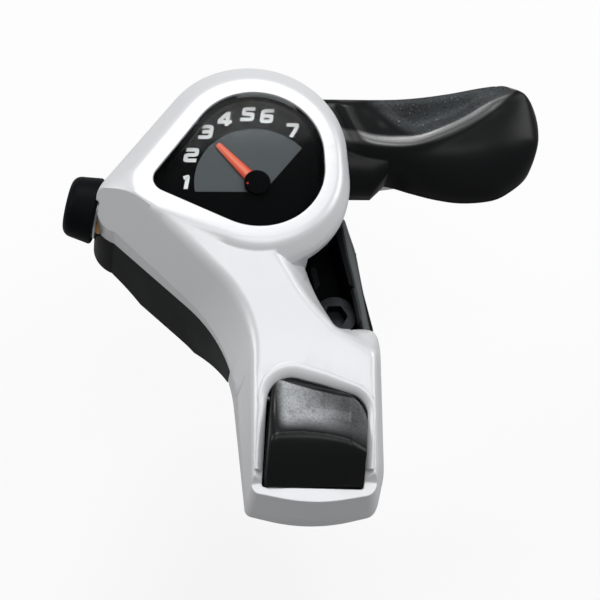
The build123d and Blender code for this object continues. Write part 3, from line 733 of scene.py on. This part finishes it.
def joined(shapes: list[Shape]) -> Shape:
    """Several shapes as one.

    Args:
        shapes: Points and faces of each shape.

    Returns:
        Points and faces of all of them.
    """
    faces, start = [], 0
    for points, rows in shapes:
        faces += [[corner + start for corner in row] for row in rows]
        start += len(points)
    return np.vstack([points for points, _ in shapes]), faces


@dataclass
class Skin:
    """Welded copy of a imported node, with smooth shading up to a crease angle."""

    node: str
    body: str
    grid: float = 0.001 * MM

    def build(self, material: Material, slot: Finish) -> None:
        """Welds the node's triangles and lets the copy stand for it.

        Args:
            material: The copy's material.
            slot: The record's material slot; not used.
        """
        source = bpy.data.objects[self.node].data
        points = np.empty(len(source.vertices) * 3)
        source.vertices.foreach_get("co", points)
        corners = np.empty(len(source.loops), dtype=np.int64)
        source.loops.foreach_get("vertex_index", corners)
        steps = np.round(points.reshape(-1, 3) / self.grid).astype(np.int64)
        _, first, where = np.unique(steps, axis=0, return_index=True, return_inverse=True)
        triangles = where.reshape(-1)[corners].reshape(-1, 3)
        flat = (triangles == np.roll(triangles, 1, axis=1)).any(axis=1)
        shape = points.reshape(-1, 3)[first], triangles[~flat]
        made = add_piece(f"{self.node}_skin", shape, material, self.body, self.node)
        weighted = made.modifiers.new("normals", "WEIGHTED_NORMAL")
        weighted.keep_sharp = True


@dataclass
class Moulding:
    """A shape of the scene's own, measured from the datum on the drum's axis."""

    datum: Vector

    def placed(self, shape: Shape) -> Shape:
        """Moves a shape from the datum's own place to the frame's."""
        return shape[0] + np.array(self.datum), shape[1]


@dataclass
class Paddle(Moulding):
    """Thumb paddle: a rolled flank, a ridge and the grained scoop behind it, over a flat underside."""

    near: Line = (
        (12.0, 6.0), (20.0, 6.1), (25.6, 5.7), (30.2, 4.3), (34.9, 3.0), (40.0, 2.3),
        (45.8, 2.9), (49.5, 4.8), (52.8, 7.8), (54.6, 11.9), (55.15, 16.0), (54.75, 19.6),
        (53.7, 21.9), (51.7, 23.3), (49.3, 23.9), (47.0, 23.9),
    )
    far: Line = ((47.0, 23.9), (43.5, 23.3), (37.5, 22.0), (31.0, 21.0), (24.5, 20.6), (12.0, 20.6))
    ridge: Line = (
        (17.5, 20.0), (19.6, 14.6), (21.4, 11.8), (25.2, 10.8), (30.1, 11.1), (35.5, 13.2), (41.6, 16.4),
        (46.2, 19.7), (49.0, 21.2), (54.0, 23.0),
    )
    near_points: int = 180
    far_points: int = 120
    ridge_points: int = 140
    start: float = 12.5 * MM
    inner_radius: float = 14.9 * MM
    underside: float = -14.85 * MM
    least_wall: float = 0.3 * MM
    least_width: float = 0.01 * MM
    ridge_top: float = -5.3 * MM
    ridge_near_width: float = 1.35 * MM
    ridge_far_width: float = 2.3 * MM
    ridge_fade: float = 7.0 * MM
    shelf: float = -7.0 * MM
    root_floor: float = -7.4 * MM
    scoop_floor: float = -9.4 * MM
    scoop_start: float = 40.0 * MM
    scoop_run: float = 7.0 * MM
    rim: float = -7.0 * MM
    rim_width: float = 5.0 * MM
    back_top: float = -6.4 * MM
    back_round: float = 2.5 * MM
    back_drop: float = 1.5 * MM
    end_wall: float = -10.6 * MM
    end_start: float = 5.0 * MM
    end_run: float = 9.0 * MM
    edge_top: float = -5.0 * MM
    edge_width: float = 3.2 * MM
    tip_lift: float = 2.7 * MM
    tip_x: float = 54.5 * MM
    tip_y: float = 17.5 * MM
    tip_run: float = 6.5 * MM
    tip_inset: float = 0.05 * MM
    roll: float = 0.72
    blend: float = 1.2 * MM
    margin: float = 0.15
    stations: int = 150
    flank_points: int = 34
    scoop_points: int = 30
    root_near: float = 2.9 * MM
    root_far: float = 10.0 * MM
    root_corner: float = 22.4 * MM
    root_end: float = 25.4 * MM
    root_top: float = -8.2 * MM
    root_inset: float = 0.2 * MM
    root_points: int = 13

    def build(self, material: Material) -> None:
        """Adds the paddle to the lever in a grained plastic."""
        shape = self.placed(joined([self._blade(), self._root()]))
        add_piece("lever_paddle", shape, material, "lever", "thumb_paddle")

    def _lines(self) -> tuple[Array, Array, Array]:
        """Plan lines of the near side, the far side and the ridge."""
        near, far = traced(self.near, self.near_points), traced(self.far, self.far_points)
        return near, far, traced(self.ridge, self.ridge_points)

    def _height(self, x: Array, y: Array) -> Array:
        """Upper side: the flank rolls up from the near edge by a power of its share of the way to the ridge.

        The ridge is a bell of its distance on both sides, the scoop's floor lies behind it and rises to
        the far rim, and the back edge falls off by the square of its distance from the far line.

        Args:
            x: Places along the handlebar.
            y: Places across it.

        Returns:
            The heights.
        """
        near_line, far_line, ridge_line = self._lines()
        near = np.maximum(side_of(near_line, x, y), 0.0)
        far = np.maximum(side_of(far_line, x, y), 0.0)
        ridge = side_of(ridge_line, x, y)
        end = ease((y - self.end_start) / self.end_run)
        foot = lerp(self.underside, self.end_wall, end)
        share = near / np.maximum(near + np.maximum(-ridge, 0.0), self.least_width)
        flank = lerp(foot, self.shelf, (1 - (1 - share) ** 2) ** self.roll)
        crest = lerp(self.shelf, self.ridge_top, ease(near / self.ridge_fade))
        front = flank + (crest - self.shelf) * np.exp(-((ridge / self.ridge_near_width) ** 2))
        outward = ease((x + y - self.scoop_start) / self.scoop_run)
        floor = lerp(self.root_floor, self.scoop_floor, outward)
        floor = lerp(floor, self.rim, 1 - ease(far / self.rim_width))
        behind = lerp(floor, crest, np.exp(-((ridge / self.ridge_far_width) ** 2)))
        back = self.back_top - self.back_drop * (1 - np.minimum(far / self.back_round, 1.0)) ** 2
        rounding = 1 - (1 - np.minimum(near / self.edge_width, 1.0)) ** 2
        lift = ease((self.tip_x - x) / self.tip_run) * ease((y - self.tip_y) / self.tip_run)
        low = foot + self.tip_lift * lift
        edge = lerp(low, self.edge_top, rounding**self.roll)
        return softer(softer(np.where(ridge > 0, behind, front), back, self.blend), edge, self.blend)

    def _blade(self) -> Shape:
        """Blade lofted through sections across the handlebar, closer together towards the tip."""
        near_line, far_line, ridge_line = self._lines()
        tip = near_line[:, 0].argmax()
        end = near_line[tip, 0] - self.tip_inset
        x = lerp(self.start, end, np.sin(np.linspace(0, math.pi / 2, self.stations)))
        outer = np.vstack([near_line[tip:], far_line[1:]])[::-1]
        low = np.interp(x, near_line[: tip + 1, 0], near_line[: tip + 1, 1])
        high = np.interp(x, outer[:, 0], outer[:, 1])
        low = np.maximum(low, np.sqrt(np.maximum(self.inner_radius**2 - x**2, 0.0)))
        crest = np.interp(x, ridge_line[:, 0], ridge_line[:, 1])
        margin = self.margin * (high - low)
        crest = np.clip(crest, low + margin, high - margin)[:, None]
        near = lerp(low[:, None], crest, crowded(self.flank_points))
        far = lerp(crest, high[:, None], crowded(self.scoop_points)[1:])
        y = np.hstack([near, far])
        x = np.broadcast_to(x[:, None], y.shape)
        z = np.maximum(self._height(x, y), self.underside + self.least_wall)
        return loft(on_foot(np.stack([x, y, z], axis=-1), self.underside))

    def _root(self) -> Shape:
        """Block beside the turret: a quarter round carried along the handlebar to a slanted corner."""
        x = np.array([self.inner_radius, self.root_corner, self.root_end])[:, None]
        low = self.root_near + np.maximum(x - self.root_corner, 0.0)
        y = lerp(low, self.root_far, 1 - np.cos(np.linspace(0, math.pi / 2, self.root_points)))
        way = (y - self.root_near + self.root_inset) / (self.root_far - self.root_near + self.root_inset)
        z = lerp(self.underside, self.root_top, np.sqrt(1 - (1 - np.minimum(way, 1.0)) ** 2))
        return loft(on_foot(np.stack([np.broadcast_to(x, y.shape), y, z], axis=-1), self.underside))


@dataclass
class Button(Moulding):
    """Release button: a hollowed pad that rises to a curved crest, and a steep front."""

    front_y: float = -56.35 * MM
    left: tuple[float, float] = (-0.62 * MM, 1.1 * MM)
    right: tuple[float, float] = (16.55 * MM, 18.1 * MM)
    top_left: float = -35.3 * MM
    top_slant: float = -0.27
    top_round: float = 4.2 * MM
    crest_y: float = -48.4 * MM
    crest_bow: float = 6.7 * MM
    crest_peak: float = 0.33
    crest_top: float = -2.2 * MM
    crest_dip: float = 0.5 * MM
    crest_round: float = 0.5 * MM
    pad_drop: float = 2.5 * MM
    pad_bow: float = 0.6
    front_end: float = -57.5 * MM
    front_drop: float = 6.6 * MM
    front_power: float = 1.4
    front_rise: float = 2.0
    hollow: float = 1.9 * MM
    hollow_share: float = 0.45
    hollow_end: float = 0.55
    ledge: float = 0.9 * MM
    ledge_width: float = 0.9 * MM
    ledge_start: float = 0.4
    side_round: float = 1.6 * MM
    right_bevel: float = 2.7 * MM
    right_drop: float = 1.4 * MM
    foot: float = -10.9 * MM
    least_wall: float = 0.4 * MM
    columns: int = 72
    rows: int = 90

    def build(self, material: Material) -> None:
        """Adds the button in a grained plastic."""
        shape = self.placed(self._block())
        add_piece("button_cap", shape, material, "button", "release_button")

    def _block(self) -> Shape:
        """Block lofted from front to back: each ring is the pad's height across and the foot below it."""
        u = crowded(self.columns)[None, :]
        v = np.linspace(0, 1, self.rows)[:, None]
        x = lerp(lerp(*self.left, v), lerp(*self.right, v), u)
        back = self._back(u, x)
        y = lerp(self.front_y, back, v)
        z = self._height(u, x, y, back)
        return loft(on_foot(np.stack([x, y, z], axis=-1), self.foot)[:, ::-1])

    def _back(self, u: Array, x: Array) -> Array:
        """Back edge: a slanted line whose two ends fall off as quarter rounds.

        Args:
            u: Share of the way from the left to the right.
            x: Places along the handlebar.

        Returns:
            The edge's y.
        """
        line = self.top_left + self.top_slant * (x - self.left[1])
        edge = np.minimum(u, 1 - u) * (self.right[1] - self.left[1])
        return line - quarter_round(edge, self.top_round)

    def _height(self, u: Array, x: Array, y: Array, back: Array) -> Array:
        """Pad and front falling off on both sides of a bowed crest, with a hollow across the pad.

        The pad falls by a parabola of its share of the way to the back and the front by a power of its
        share of the way to the front end. The lower of the two counts. The left edge is rolled, the right
        one is bevelled and a ledge runs along the back.

        Args:
            u: Share of the way from the left to the right.
            x: Places along the handlebar.
            y: Places across it.
            back: The back edge's y.

        Returns:
            The heights.
        """
        bow = 1 - (2 * u - 1) ** 2
        crest = self.crest_y - self.crest_bow * (u - self.crest_peak) ** 2
        peak = self.crest_top - self.crest_dip * bow
        way = (y - crest) / (back - crest)
        pad = peak - self.pad_drop * ((1 + self.pad_bow) * way - self.pad_bow * way**2)
        flat = ease((way - self.hollow_end) / (1 - self.hollow_end))
        pad = pad - self.hollow * bow * ease(way / self.hollow_share) * (1 - flat)
        ahead = np.maximum(crest - y, 0.0) / (crest - self.front_end)
        front = peak - self.front_drop * ahead**self.front_power
        front = front + self.front_rise * np.maximum(y - crest, 0.0)
        top = softer(pad, front, self.crest_round)
        width = np.ptp(x, axis=1, keepdims=True)
        left_edge, right_edge = u * width, (1 - u) * width
        roll = quarter_round(left_edge, self.side_round)
        slope = self.right_drop * np.clip(1 - right_edge / self.right_bevel, 0, 1)
        ledge = self.ledge * (1 - ease((back - y) / self.ledge_width - self.ledge_start))
        return np.maximum(top - roll - slope - ledge, self.foot + self.least_wall)


@dataclass
class Rim(Moulding):
    """Smooth lip round three sides of the button's opening."""

    corners: Line = ((-0.86, -53.6), (0.8, -35.7), (10.5, -38.3), (18.4, -41.0), (17.25, -53.6))
    radii: tuple[float, ...] = (4.6, 25.0, 3.6)
    reach: tuple[float, ...] = (-0.05, 0.25, 0.9, 1.7, 2.1, 2.35, 2.7, 2.75, 1.2)
    rise: tuple[float, ...] = (-0.95, -0.6, -0.25, 0.02, 0.06, 0.05, 0.01, -0.4, -1.9)
    top: float = 0.92 * MM
    slope: float = 0.142
    rail_share: float = 0.5
    rail_y: float = -43 * MM
    rail_run: float = 8 * MM
    arc_points: int = 9
    stations: int = 150

    def build(self, material: Material) -> None:
        """Adds the lip to the cover: a section of reach and rise carried along the opening's edge.

        Args:
            material: The cover's paint.
        """
        line = self._line()
        outward = left_of(np.gradient(line, axis=0))
        share = lerp(self.rail_share, 1.0, ease((line[:, 1] - self.rail_y) / self.rail_run))
        reach = np.array(self.reach) * MM
        reach = np.where(reach > 0, reach * share[:, None], reach)
        plan = line[:, None] + outward[:, None] * reach[..., None]
        height = self.top + self.slope * plan[..., 1] + np.array(self.rise) * MM
        shape = self.placed(loft(raised(plan, height)))
        add_piece("opening_lip", shape, material, "housing")

    def _line(self) -> Array:
        """Opening's edge: straight sides joined by arcs that touch both, at even steps along it."""
        corners = np.array(self.corners) * MM
        turn = np.linspace(0, 1, self.arc_points)[:, None]
        pieces = [corners[:1]]
        for before, corner, after, radius in zip(corners, corners[1:], corners[2:], self.radii):
            first = (before - corner) / np.linalg.norm(before - corner)
            second = (after - corner) / np.linalg.norm(after - corner)
            half = math.acos(float(first @ second)) / 2
            inward = (first + second) / np.linalg.norm(first + second)
            middle = corner + inward * radius * MM / math.sin(half)
            ends = [corner + side * radius * MM / math.tan(half) - middle for side in (first, second)]
            sweep = math.pi - 2 * half
            spokes = np.sin((1 - turn) * sweep) * ends[0] + np.sin(turn * sweep) * ends[1]
            pieces.append(middle + spokes / math.sin(sweep))
        line = np.vstack([*pieces, corners[-1:]])
        length = np.concatenate([[0.0], np.cumsum(np.linalg.norm(np.diff(line, axis=0), axis=1))])
        even = np.linspace(0, length[-1], self.stations)
        return np.column_stack([np.interp(even, length, line[:, axis]) for axis in (0, 1)])


@dataclass
class Rail(Moulding):
    """Rounded rail of the base beside the clamp bolt's pocket."""

    outer: Line = (
        (17.1, -2.9), (17.84, -5.9), (18.77, -9.6), (19.2, -13.2),
        (19.72, -17.7), (20.36, -22.7), (20.74, -25.4),
    )
    inner: Line = (
        (15.9, -2.9), (16.05, -5.1), (16.4, -9.9), (17.41, -15.3),
        (18.24, -20.2), (18.72, -24.8), (18.8, -25.4),
    )
    across: tuple[float, ...] = (0.0, 0.06, 0.3, 0.7, 0.94, 1.0, 1.0, 0.0)
    height: tuple[float, ...] = (-12.6, -11.7, -11.25, -11.25, -11.7, -12.6, -14.2, -14.2)
    stations: int = 60

    def build(self, material: Material) -> None:
        """Adds the rail to the base: a rounded section scaled between the two plan lines.

        Args:
            material: The base's plastic, painted mid-grey as sheen.
        """
        inner, outer = (traced(line, self.stations)[:, None] for line in (self.inner, self.outer))
        plan = lerp(inner, outer, np.array(self.across)[:, None])
        shape = self.placed(loft(raised(plan, np.array(self.height) * MM)))
        add_piece("pocket_rail", shape, material, "housing")


@dataclass
class Skirt(Moulding):
    """Sloping side of the neck below the pocket, from the neck's rounded edge down to the base."""

    inner: Line = (
        (15.6, -27.6, -7.6), (16.9, -29.3, -6.2), (18.0, -30.9, -5.5),
        (18.8, -32.5, -5.3), (19.3, -34.2, -5.6), (19.7, -36.0, -6.4),
    )
    outer: Line = (
        (17.4, -25.2, -11.2), (19.2, -25.3, -11.0), (20.7, -25.8, -10.8),
        (21.5, -27.3, -10.6), (21.8, -30.0, -10.6), (21.7, -34.0, -10.6),
    )
    bulge: float = 0.5 * MM
    underside: float = -11.45 * MM
    steps: int = 12
    stations: int = 50

    def build(self, material: Material) -> None:
        """Adds the slope to the cover: straight lines across, lifted by a parabola in their middle.

        Args:
            material: The cover's paint.
        """
        inner, outer = (traced(line, self.stations)[:, None] for line in (self.inner, self.outer))
        share = np.linspace(0, 1, self.steps)
        slope = lerp(inner, outer, share[:, None])
        slope[..., 2] += self.bulge * 4 * share * (1 - share)
        shape = self.placed(loft(on_foot(slope, self.underside)))
        add_piece("neck_side", shape, material, "housing")


@dataclass(frozen=True)
class Numeral:
    """One dial numeral: its strokes in a cell of unit height, and its place about the pivot."""

    strokes: tuple[Line, ...]
    angle: float
    radius: float


TOP, MIDDLE, FOOT = 0.88, 0.51, 0.12
NUMERALS = (
    Numeral((((0.2, 0.76), (0.46, 0.88), (0.46, 0.0)),), 178.1, 12.8 * MM),
    Numeral(
        (((0.08, TOP), (0.76, TOP), (0.76, MIDDLE), (0.12, MIDDLE), (0.12, FOOT), (0.82, FOOT)),),
        153.4,
        13.2 * MM,
    ),
    Numeral(
        (((0.08, TOP), (0.76, TOP), (0.76, FOOT), (0.02, FOOT)), ((0.22, MIDDLE), (0.7, MIDDLE))),
        129.9,
        14.0 * MM,
    ),
    Numeral(
        (((0.6, 0.0), (0.6, 1.0)), ((0.56, 0.93), (0.1, 0.36)), ((0.0, 0.29), (0.9, 0.29))),
        111.7,
        14.5 * MM,
    ),
    Numeral(
        (((0.84, TOP), (0.16, TOP), (0.16, MIDDLE), (0.74, MIDDLE), (0.74, FOOT), (0.0, FOOT)),),
        94.3,
        14.55 * MM,
    ),
    Numeral(
        (((0.84, TOP), (0.14, TOP), (0.14, FOOT), (0.74, FOOT), (0.74, MIDDLE), (0.22, MIDDLE)),),
        80.4,
        14.35 * MM,
    ),
    Numeral((((0.04, TOP), (0.78, TOP), (0.44, 0.0)),), 58.5, 13.2 * MM),
)


@dataclass
class Dial(Moulding):
    """Printed dial under the window, its needle and the needle's cap."""

    height: float = 2.9 * MM
    slant: float = 0.2
    stroke: float = 0.255
    corner: float = 0.14
    corner_cuts: int = 2
    cell_width: float = 0.86
    ink: float = 0.03 * MM
    step: float = 0.004 * MM
    floor: float = -3.0 * MM
    fan_inner: float = 2.3 * MM
    fan_outer: float = 11.4 * MM
    fan_left_drop: float = 1.55 * MM
    fan_right_drop: float = 1.85 * MM
    fan_right_angle: float = math.radians(50.5)
    fan_columns: int = 61
    dot_radius: float = 0.2 * MM
    dot_place: tuple[float, float] = (-1.8 * MM, -0.3 * MM)
    dot_turn: float = math.radians(81)
    dot_stations: int = 9
    needle_angle: float = math.radians(131)
    needle_length: float = 10.5 * MM
    needle_root: float = 1.3 * MM
    needle_tip: float = 0.55 * MM
    needle_bottom: float = -2.75 * MM
    needle_top: float = -2.25 * MM
    needle_edge: float = -2.55 * MM
    needle_flat: float = 0.45
    cap_radius: float = 2.4 * MM
    cap_top: float = -1.9 * MM
    cap_reach: tuple[float, ...] = (0.4, 1.0, 1.0, 0.93, 0.5, 0.12)
    cap_rise: tuple[float, ...] = (0.0, 0.0, 0.7, 0.93, 1.0, 1.0)
    cap_columns: int = 64
    numeral_colour: Colour = srgb(254, 254, 254)
    fan_colour: Colour = srgb(86, 91, 94)
    dot_colour: Colour = srgb(196, 52, 48)

    def build(self, finishes: dict[Finish, Material]) -> None:
        """Adds the numerals, the fan, the needle, its cap and the cap's red dot.

        Args:
            finishes: Materials of the record's slots.
        """
        black, orange = Finish.DIAL, Finish.NEEDLE
        white = PrintInk("numeral_ink", self.numeral_colour).material()
        grey = PrintInk("fan_ink", self.fan_colour).material()
        red = PrintInk("dot_ink", self.dot_colour).material()
        add_piece("dial_numerals", self.placed(self._numerals()), white, "housing")
        add_piece("dial_fan", self.placed(self._fan()), grey, "housing")
        add_piece("cap_dot", self.placed(self._dot()), red, "drum")
        add_piece("needle", self.placed(self._needle()), finishes[orange], "drum", "pointer")
        add_piece("needle_cap", self.placed(self._cap()), finishes[black], "drum", "pointer_hub")

    def _needle(self) -> Shape:
        """Tapered blade with a raised middle: one section of six points, scaled from root to tip."""
        along = np.array([[0.0], [self.needle_length]])
        half = np.array([[self.needle_root], [self.needle_tip]])
        across = half * np.array([-1.0, -1.0, -self.needle_flat, self.needle_flat, 1.0, 1.0])
        low, edge, top = self.needle_bottom, self.needle_edge, self.needle_top
        cosine, sine = math.cos(self.needle_angle), math.sin(self.needle_angle)
        plan = np.stack([along * cosine - across * sine, along * sine + across * cosine], axis=-1)
        return loft(raised(plan, np.array([low, edge, top, top, edge, low])))

    def _cap(self) -> Shape:
        """Round cap: a profile of radius and height turned about the pivot, with a cap on each end."""
        radius = self.cap_radius * np.array(self.cap_reach)[:, None]
        height = lerp(self.needle_top, self.cap_top, np.array(self.cap_rise)[:, None])
        turn = np.linspace(0, 2 * math.pi, self.cap_columns, endpoint=False)
        return loft(raised(polar(radius, turn), height)[:, ::-1])

    def _rounded(self, corners: Array) -> Array:
        """Cuts a line's corners: each round swaps a corner for two points at a share of its two sides.

        Args:
            corners: Points of the line.

        Returns:
            The line with more and blunter corners.
        """
        for _ in range(self.corner_cuts):
            start, end = corners[:-1], corners[1:]
            cut = np.stack([lerp(start, end, self.corner), lerp(end, start, self.corner)], axis=1)
            corners = np.vstack([corners[:1], cut.reshape(-1, 2)[1:-1], corners[-1:]])
        return corners

    def _stroke(self, corners: Array) -> Array:
        """Two sides of a stroke of even width, mitred: each corner moves along its half angle.

        Args:
            corners: Points of the stroke's middle line.

        Returns:
            The sides as (station, side, xy).
        """
        square = left_of(np.diff(corners, axis=0))
        before, after = np.vstack([square[:1], square]), np.vstack([square, square[-1:]])
        mitre = (before + after) / (1 + (before * after).sum(axis=1, keepdims=True))
        reach = mitre * self.stroke / 2
        return np.stack([corners + reach, corners - reach], axis=1)

    def _numerals(self) -> Shape:
        """All numerals as slanted slabs of ink, each stroke a little above the one before it."""
        shapes = []
        for numeral in NUMERALS:
            middle = polar(numeral.radius, math.radians(numeral.angle))
            for layer, stroke in enumerate(numeral.strokes):
                sides = self._stroke(self._rounded(np.array(stroke)))
                sides = sides - np.array([self.cell_width / 2, 0.5])
                sides[..., 0] += self.slant * sides[..., 1]
                top = self.floor + self.ink + layer * self.step
                shapes.append(slab(sides * self.height + middle, self.floor, top))
        return joined(shapes)

    def _fan(self) -> Shape:
        """Fan between two slanted straight sides: both arcs run between the angles where they meet them."""
        radius = np.array([self.fan_inner, self.fan_outer])
        start = self.fan_right_angle - np.arcsin(self.fan_right_drop / radius)
        end = math.pi + np.arcsin(self.fan_left_drop / radius)
        angle = lerp(start, end, np.linspace(0, 1, self.fan_columns)[:, None])
        return slab(polar(radius, angle), self.floor, self.floor + self.ink)

    def _dot(self) -> Shape:
        """Round dot: the half width at each station is the cosine of the angle whose sine is its place."""
        turn = np.linspace(-self.dot_turn, self.dot_turn, self.dot_stations)
        along, half = self.dot_radius * np.sin(turn), self.dot_radius * np.cos(turn)
        sides = np.stack([np.column_stack([along, half]), np.column_stack([along, -half])], axis=1)
        return slab(sides + np.array(self.dot_place), self.needle_top, self.cap_top)


@dataclass(frozen=True)
class Lamp:
    """A square soft lamp that faces the origin."""

    name: str
    place: tuple[float, float, float]
    side: float
    watts: float

    def build(self) -> None:
        """Adds the lamp to the scene."""
        data = bpy.data.lights.new(self.name, "AREA")
        data.size = self.side
        data.energy = self.watts
        made = bpy.data.objects.new(self.name, data)
        made.location = self.place
        made.rotation_euler = (-Vector(self.place)).to_track_quat("-Z", "Y").to_euler()
        bpy.context.scene.collection.objects.link(made)


LAMPS = (
    Lamp("key_lamp", (0.75, 0.28, 0.6), 0.5, 3.1),
    Lamp("back_lamp", (-0.05, 0.6, 0.76), 0.36, 3.8),
    Lamp("top_lamp", (0.1, -0.06, 0.99), 0.45, 1.6),
    Lamp("fill_lamp", (-0.78, 0.2, 0.56), 0.5, 2.5),
)


@dataclass
class Studio:
    """Camera, soft lamps, world and floor."""

    camera_at: Vector = field(default_factory=lambda: Vector((-51.2, -179.59, 390.03)) * MM)
    right: Vector = field(default_factory=lambda: Vector((0.99337, -0.04745, 0.10473)))
    up: Vector = field(default_factory=lambda: Vector((0.0, 0.91088, 0.41267)))
    lens: float = 133.3
    sensor: float = 36.0
    nearest: float = 0.01
    farthest: float = 50.0
    floor_gap: float = 45 * MM
    floor_size: float = 20.0
    floor_seen: Colour = (0.95, 0.95, 0.95, 1.0)
    floor_bounce: Colour = (0.35, 0.35, 0.35, 1.0)
    floor_glow: float = 0.8
    floor_mirrored: float = 0.15
    white: Colour = (1.0, 1.0, 1.0, 1.0)
    world_strength: float = 0.18

    def build(self, lowest: float) -> None:
        """Sets the stage.

        Args:
            lowest: Height of the object's lowest point.
        """
        bpy.context.scene.view_settings.view_transform = "Standard"
        self._camera()
        self._world()
        self._floor(lowest - self.floor_gap)
        for lamp in LAMPS:
            lamp.build()

    def _camera(self) -> None:
        """Puts the camera where the photograph was taken from."""
        data = bpy.data.cameras.new("camera")
        data.lens = self.lens
        data.sensor_width = self.sensor
        data.clip_start, data.clip_end = self.nearest, self.farthest
        made = bpy.data.objects.new("camera", data)
        back = self.right.cross(self.up).normalized()
        up = back.cross(self.right)
        turn = Matrix((self.right, up, back)).transposed()
        made.matrix_world = Matrix.Translation(self.camera_at) @ turn.to_4x4()
        bpy.context.scene.collection.objects.link(made)
        bpy.context.scene.camera = made

    def _world(self) -> None:
        """Soft even surroundings."""
        world = bpy.data.worlds.new("surroundings")
        world.use_nodes = True
        background = world.node_tree.nodes["Background"]
        background.inputs["Color"].default_value = self.white
        background.inputs["Strength"].default_value = self.world_strength
        bpy.context.scene.world = world

    def _floor(self, height: float) -> None:
        """White floor that keeps a faint shadow.

        Args:
            height: Where the floor lies.
        """
        half = self.floor_size / 2
        plan = np.array([[-half, -half], [half, -half], [half, half], [-half, half]])
        made = mesh_object("floor", raised(plan, height), [[0, 1, 2, 3]])
        shader = Shader("white_floor")
        path = shader.node("ShaderNodeLightPath")
        rays = ("Is Camera Ray", "Is Glossy Ray", "Is Transmission Ray")
        camera, glossy, through = [Value(shader, path.outputs[name]) for name in rays]
        seen = camera + through + self.floor_mirrored * glossy
        tone = shader.blend(seen, self.floor_bounce, self.floor_seen)
        matte = shader.node("ShaderNodeBsdfDiffuse", {"Color": tone}).outputs[0]
        glow = shader.node("ShaderNodeEmission", {"Color": self.white}).outputs[0]
        mixed = shader.node("ShaderNodeMixShader", {0: self.floor_glow * seen, 1: matte, 2: glow})
        made.data.materials.append(shader.close(mixed.outputs[0]))
        made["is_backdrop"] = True


@dataclass
class Shifter:
    """The whole shifter: a smooth skin in its own finish, or a new shape, for every node."""

    frame: dict
    own_shapes: tuple[str, ...] = ("thumb_paddle", "release_button", "pointer", "pointer_hub")
    dial_under: float = 3.8 * MM

    def build(self) -> None:
        """Dresses every node of the frame."""
        finishes = self._finishes()
        record = self.frame["record"]
        slots = {part["node"]: Finish(part["material_slot"]) for part in record["subparts"]}
        for body, nodes in record["behaviour"]["bodies"].items():
            for node in (node for node in nodes if node not in self.own_shapes):
                Skin(node, body).build(finishes[slots[node]], slots[node])
        datum = self._datum()
        # Painted sheen: the rail, black plastic like the base, is coloured mid-grey to look lit.
        rail = Plain("rail_painted_sheen", srgb(62, 66, 67), roughness=0.34, specular=0.45)
        Paddle(datum).build(self._paddle_plastic())
        Button(datum).build(self._button_plastic())
        Rim(datum).build(finishes[Finish.SILVER])
        Skirt(datum).build(finishes[Finish.SILVER])
        Rail(datum).build(rail.material())
        Dial(datum).build(finishes)

    def _datum(self) -> Vector:
        """Point on the drum's axis from which the new shapes are measured."""
        joint = next(joint for joint in self.frame["joints"] if joint["name"] == "drum_index")
        x, y, _ = joint["pos_m"]
        return Vector((x, y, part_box("dial_plate")[0].z + self.dial_under))

    def _finishes(self) -> dict[Finish, Material]:
        """Materials of the record's slots, apart from the one that only new shapes have."""
        satin = Plain("black_satin", srgb(14, 16, 18), roughness=0.45, specular=0.04)
        dial = Plain("dial_black", srgb(5, 6, 7), roughness=0.75, specular=0.02)
        return {
            Finish.SILVER: SilverPaint().material(),
            Finish.BLACK_SATIN: satin.material(),
            Finish.CLEAR: ClearPane().material(),
            Finish.DIAL: dial.material(),
            Finish.NEEDLE: NeedlePlastic().material(self._datum(), Dial.needle_angle),
            Finish.NYLON: Plain("nylon", srgb(196, 196, 190), roughness=0.5).material(),
            Finish.STEEL: Metal("steel", srgb(196, 198, 202), roughness=0.34).material(),
            Finish.DARK_STEEL: Metal("dark_steel", srgb(48, 50, 53), roughness=0.42).material(),
            Finish.BRONZE: Metal("bronze", srgb(176, 134, 84), roughness=0.45).material(),
        }

    @staticmethod
    def _paddle_plastic() -> Material:
        """Paddle's plastic, grained in the scoop behind its bowed ridge."""
        return GrainedPlastic(
            "paddle_plastic",
            line_x=13.7 * MM,
            line_y=15.8 * MM,
            line_rise=21.0,
            line_gap=1.0 * MM,
            grain_from=33.5 * MM,
            polish=1.0,
        ).material()

    @staticmethod
    def _button_plastic() -> Material:
        """Button's plastic, grained on the pad between its crest and its ledge; the grain's near white is a
        painted sheen, and painted shade darkens it towards the crest, the left edge and the right.
        """
        return GrainedPlastic(
            "button_plastic",
            line_x=-7.5 * MM,
            line_y=-43.2 * MM,
            line_rise=-22.4,
            line_gap=0.4 * MM,
            # Painted shade: the light grain fades out over this run towards the crest.
            line_run=4.2 * MM,
            shaded_left_edge=-11.0 * MM,
            grain_to=-34.9 * MM,
            grain_slant=0.27,
            # Painted shade: the grain darkens towards the right.
            fade=0.82,
            # Painted sheen: the pad's grain is near white to stand in for lamp light on it.
            grain_colour=srgb(232, 236, 239),
            specular=0.25,
            contrast=0.32,
            depth=0.018 * MM,
        ).material()


def main() -> None:
    """Builds the shifter and its studio, with the floor below the imported object's box."""
    logging.basicConfig(level=logging.INFO, format="%(name)s: %(message)s")
    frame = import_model()
    cad_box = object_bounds()
    Shifter(frame).build()
    Studio().build(cad_box[0].z)


if __name__ == "__main__":
    main()
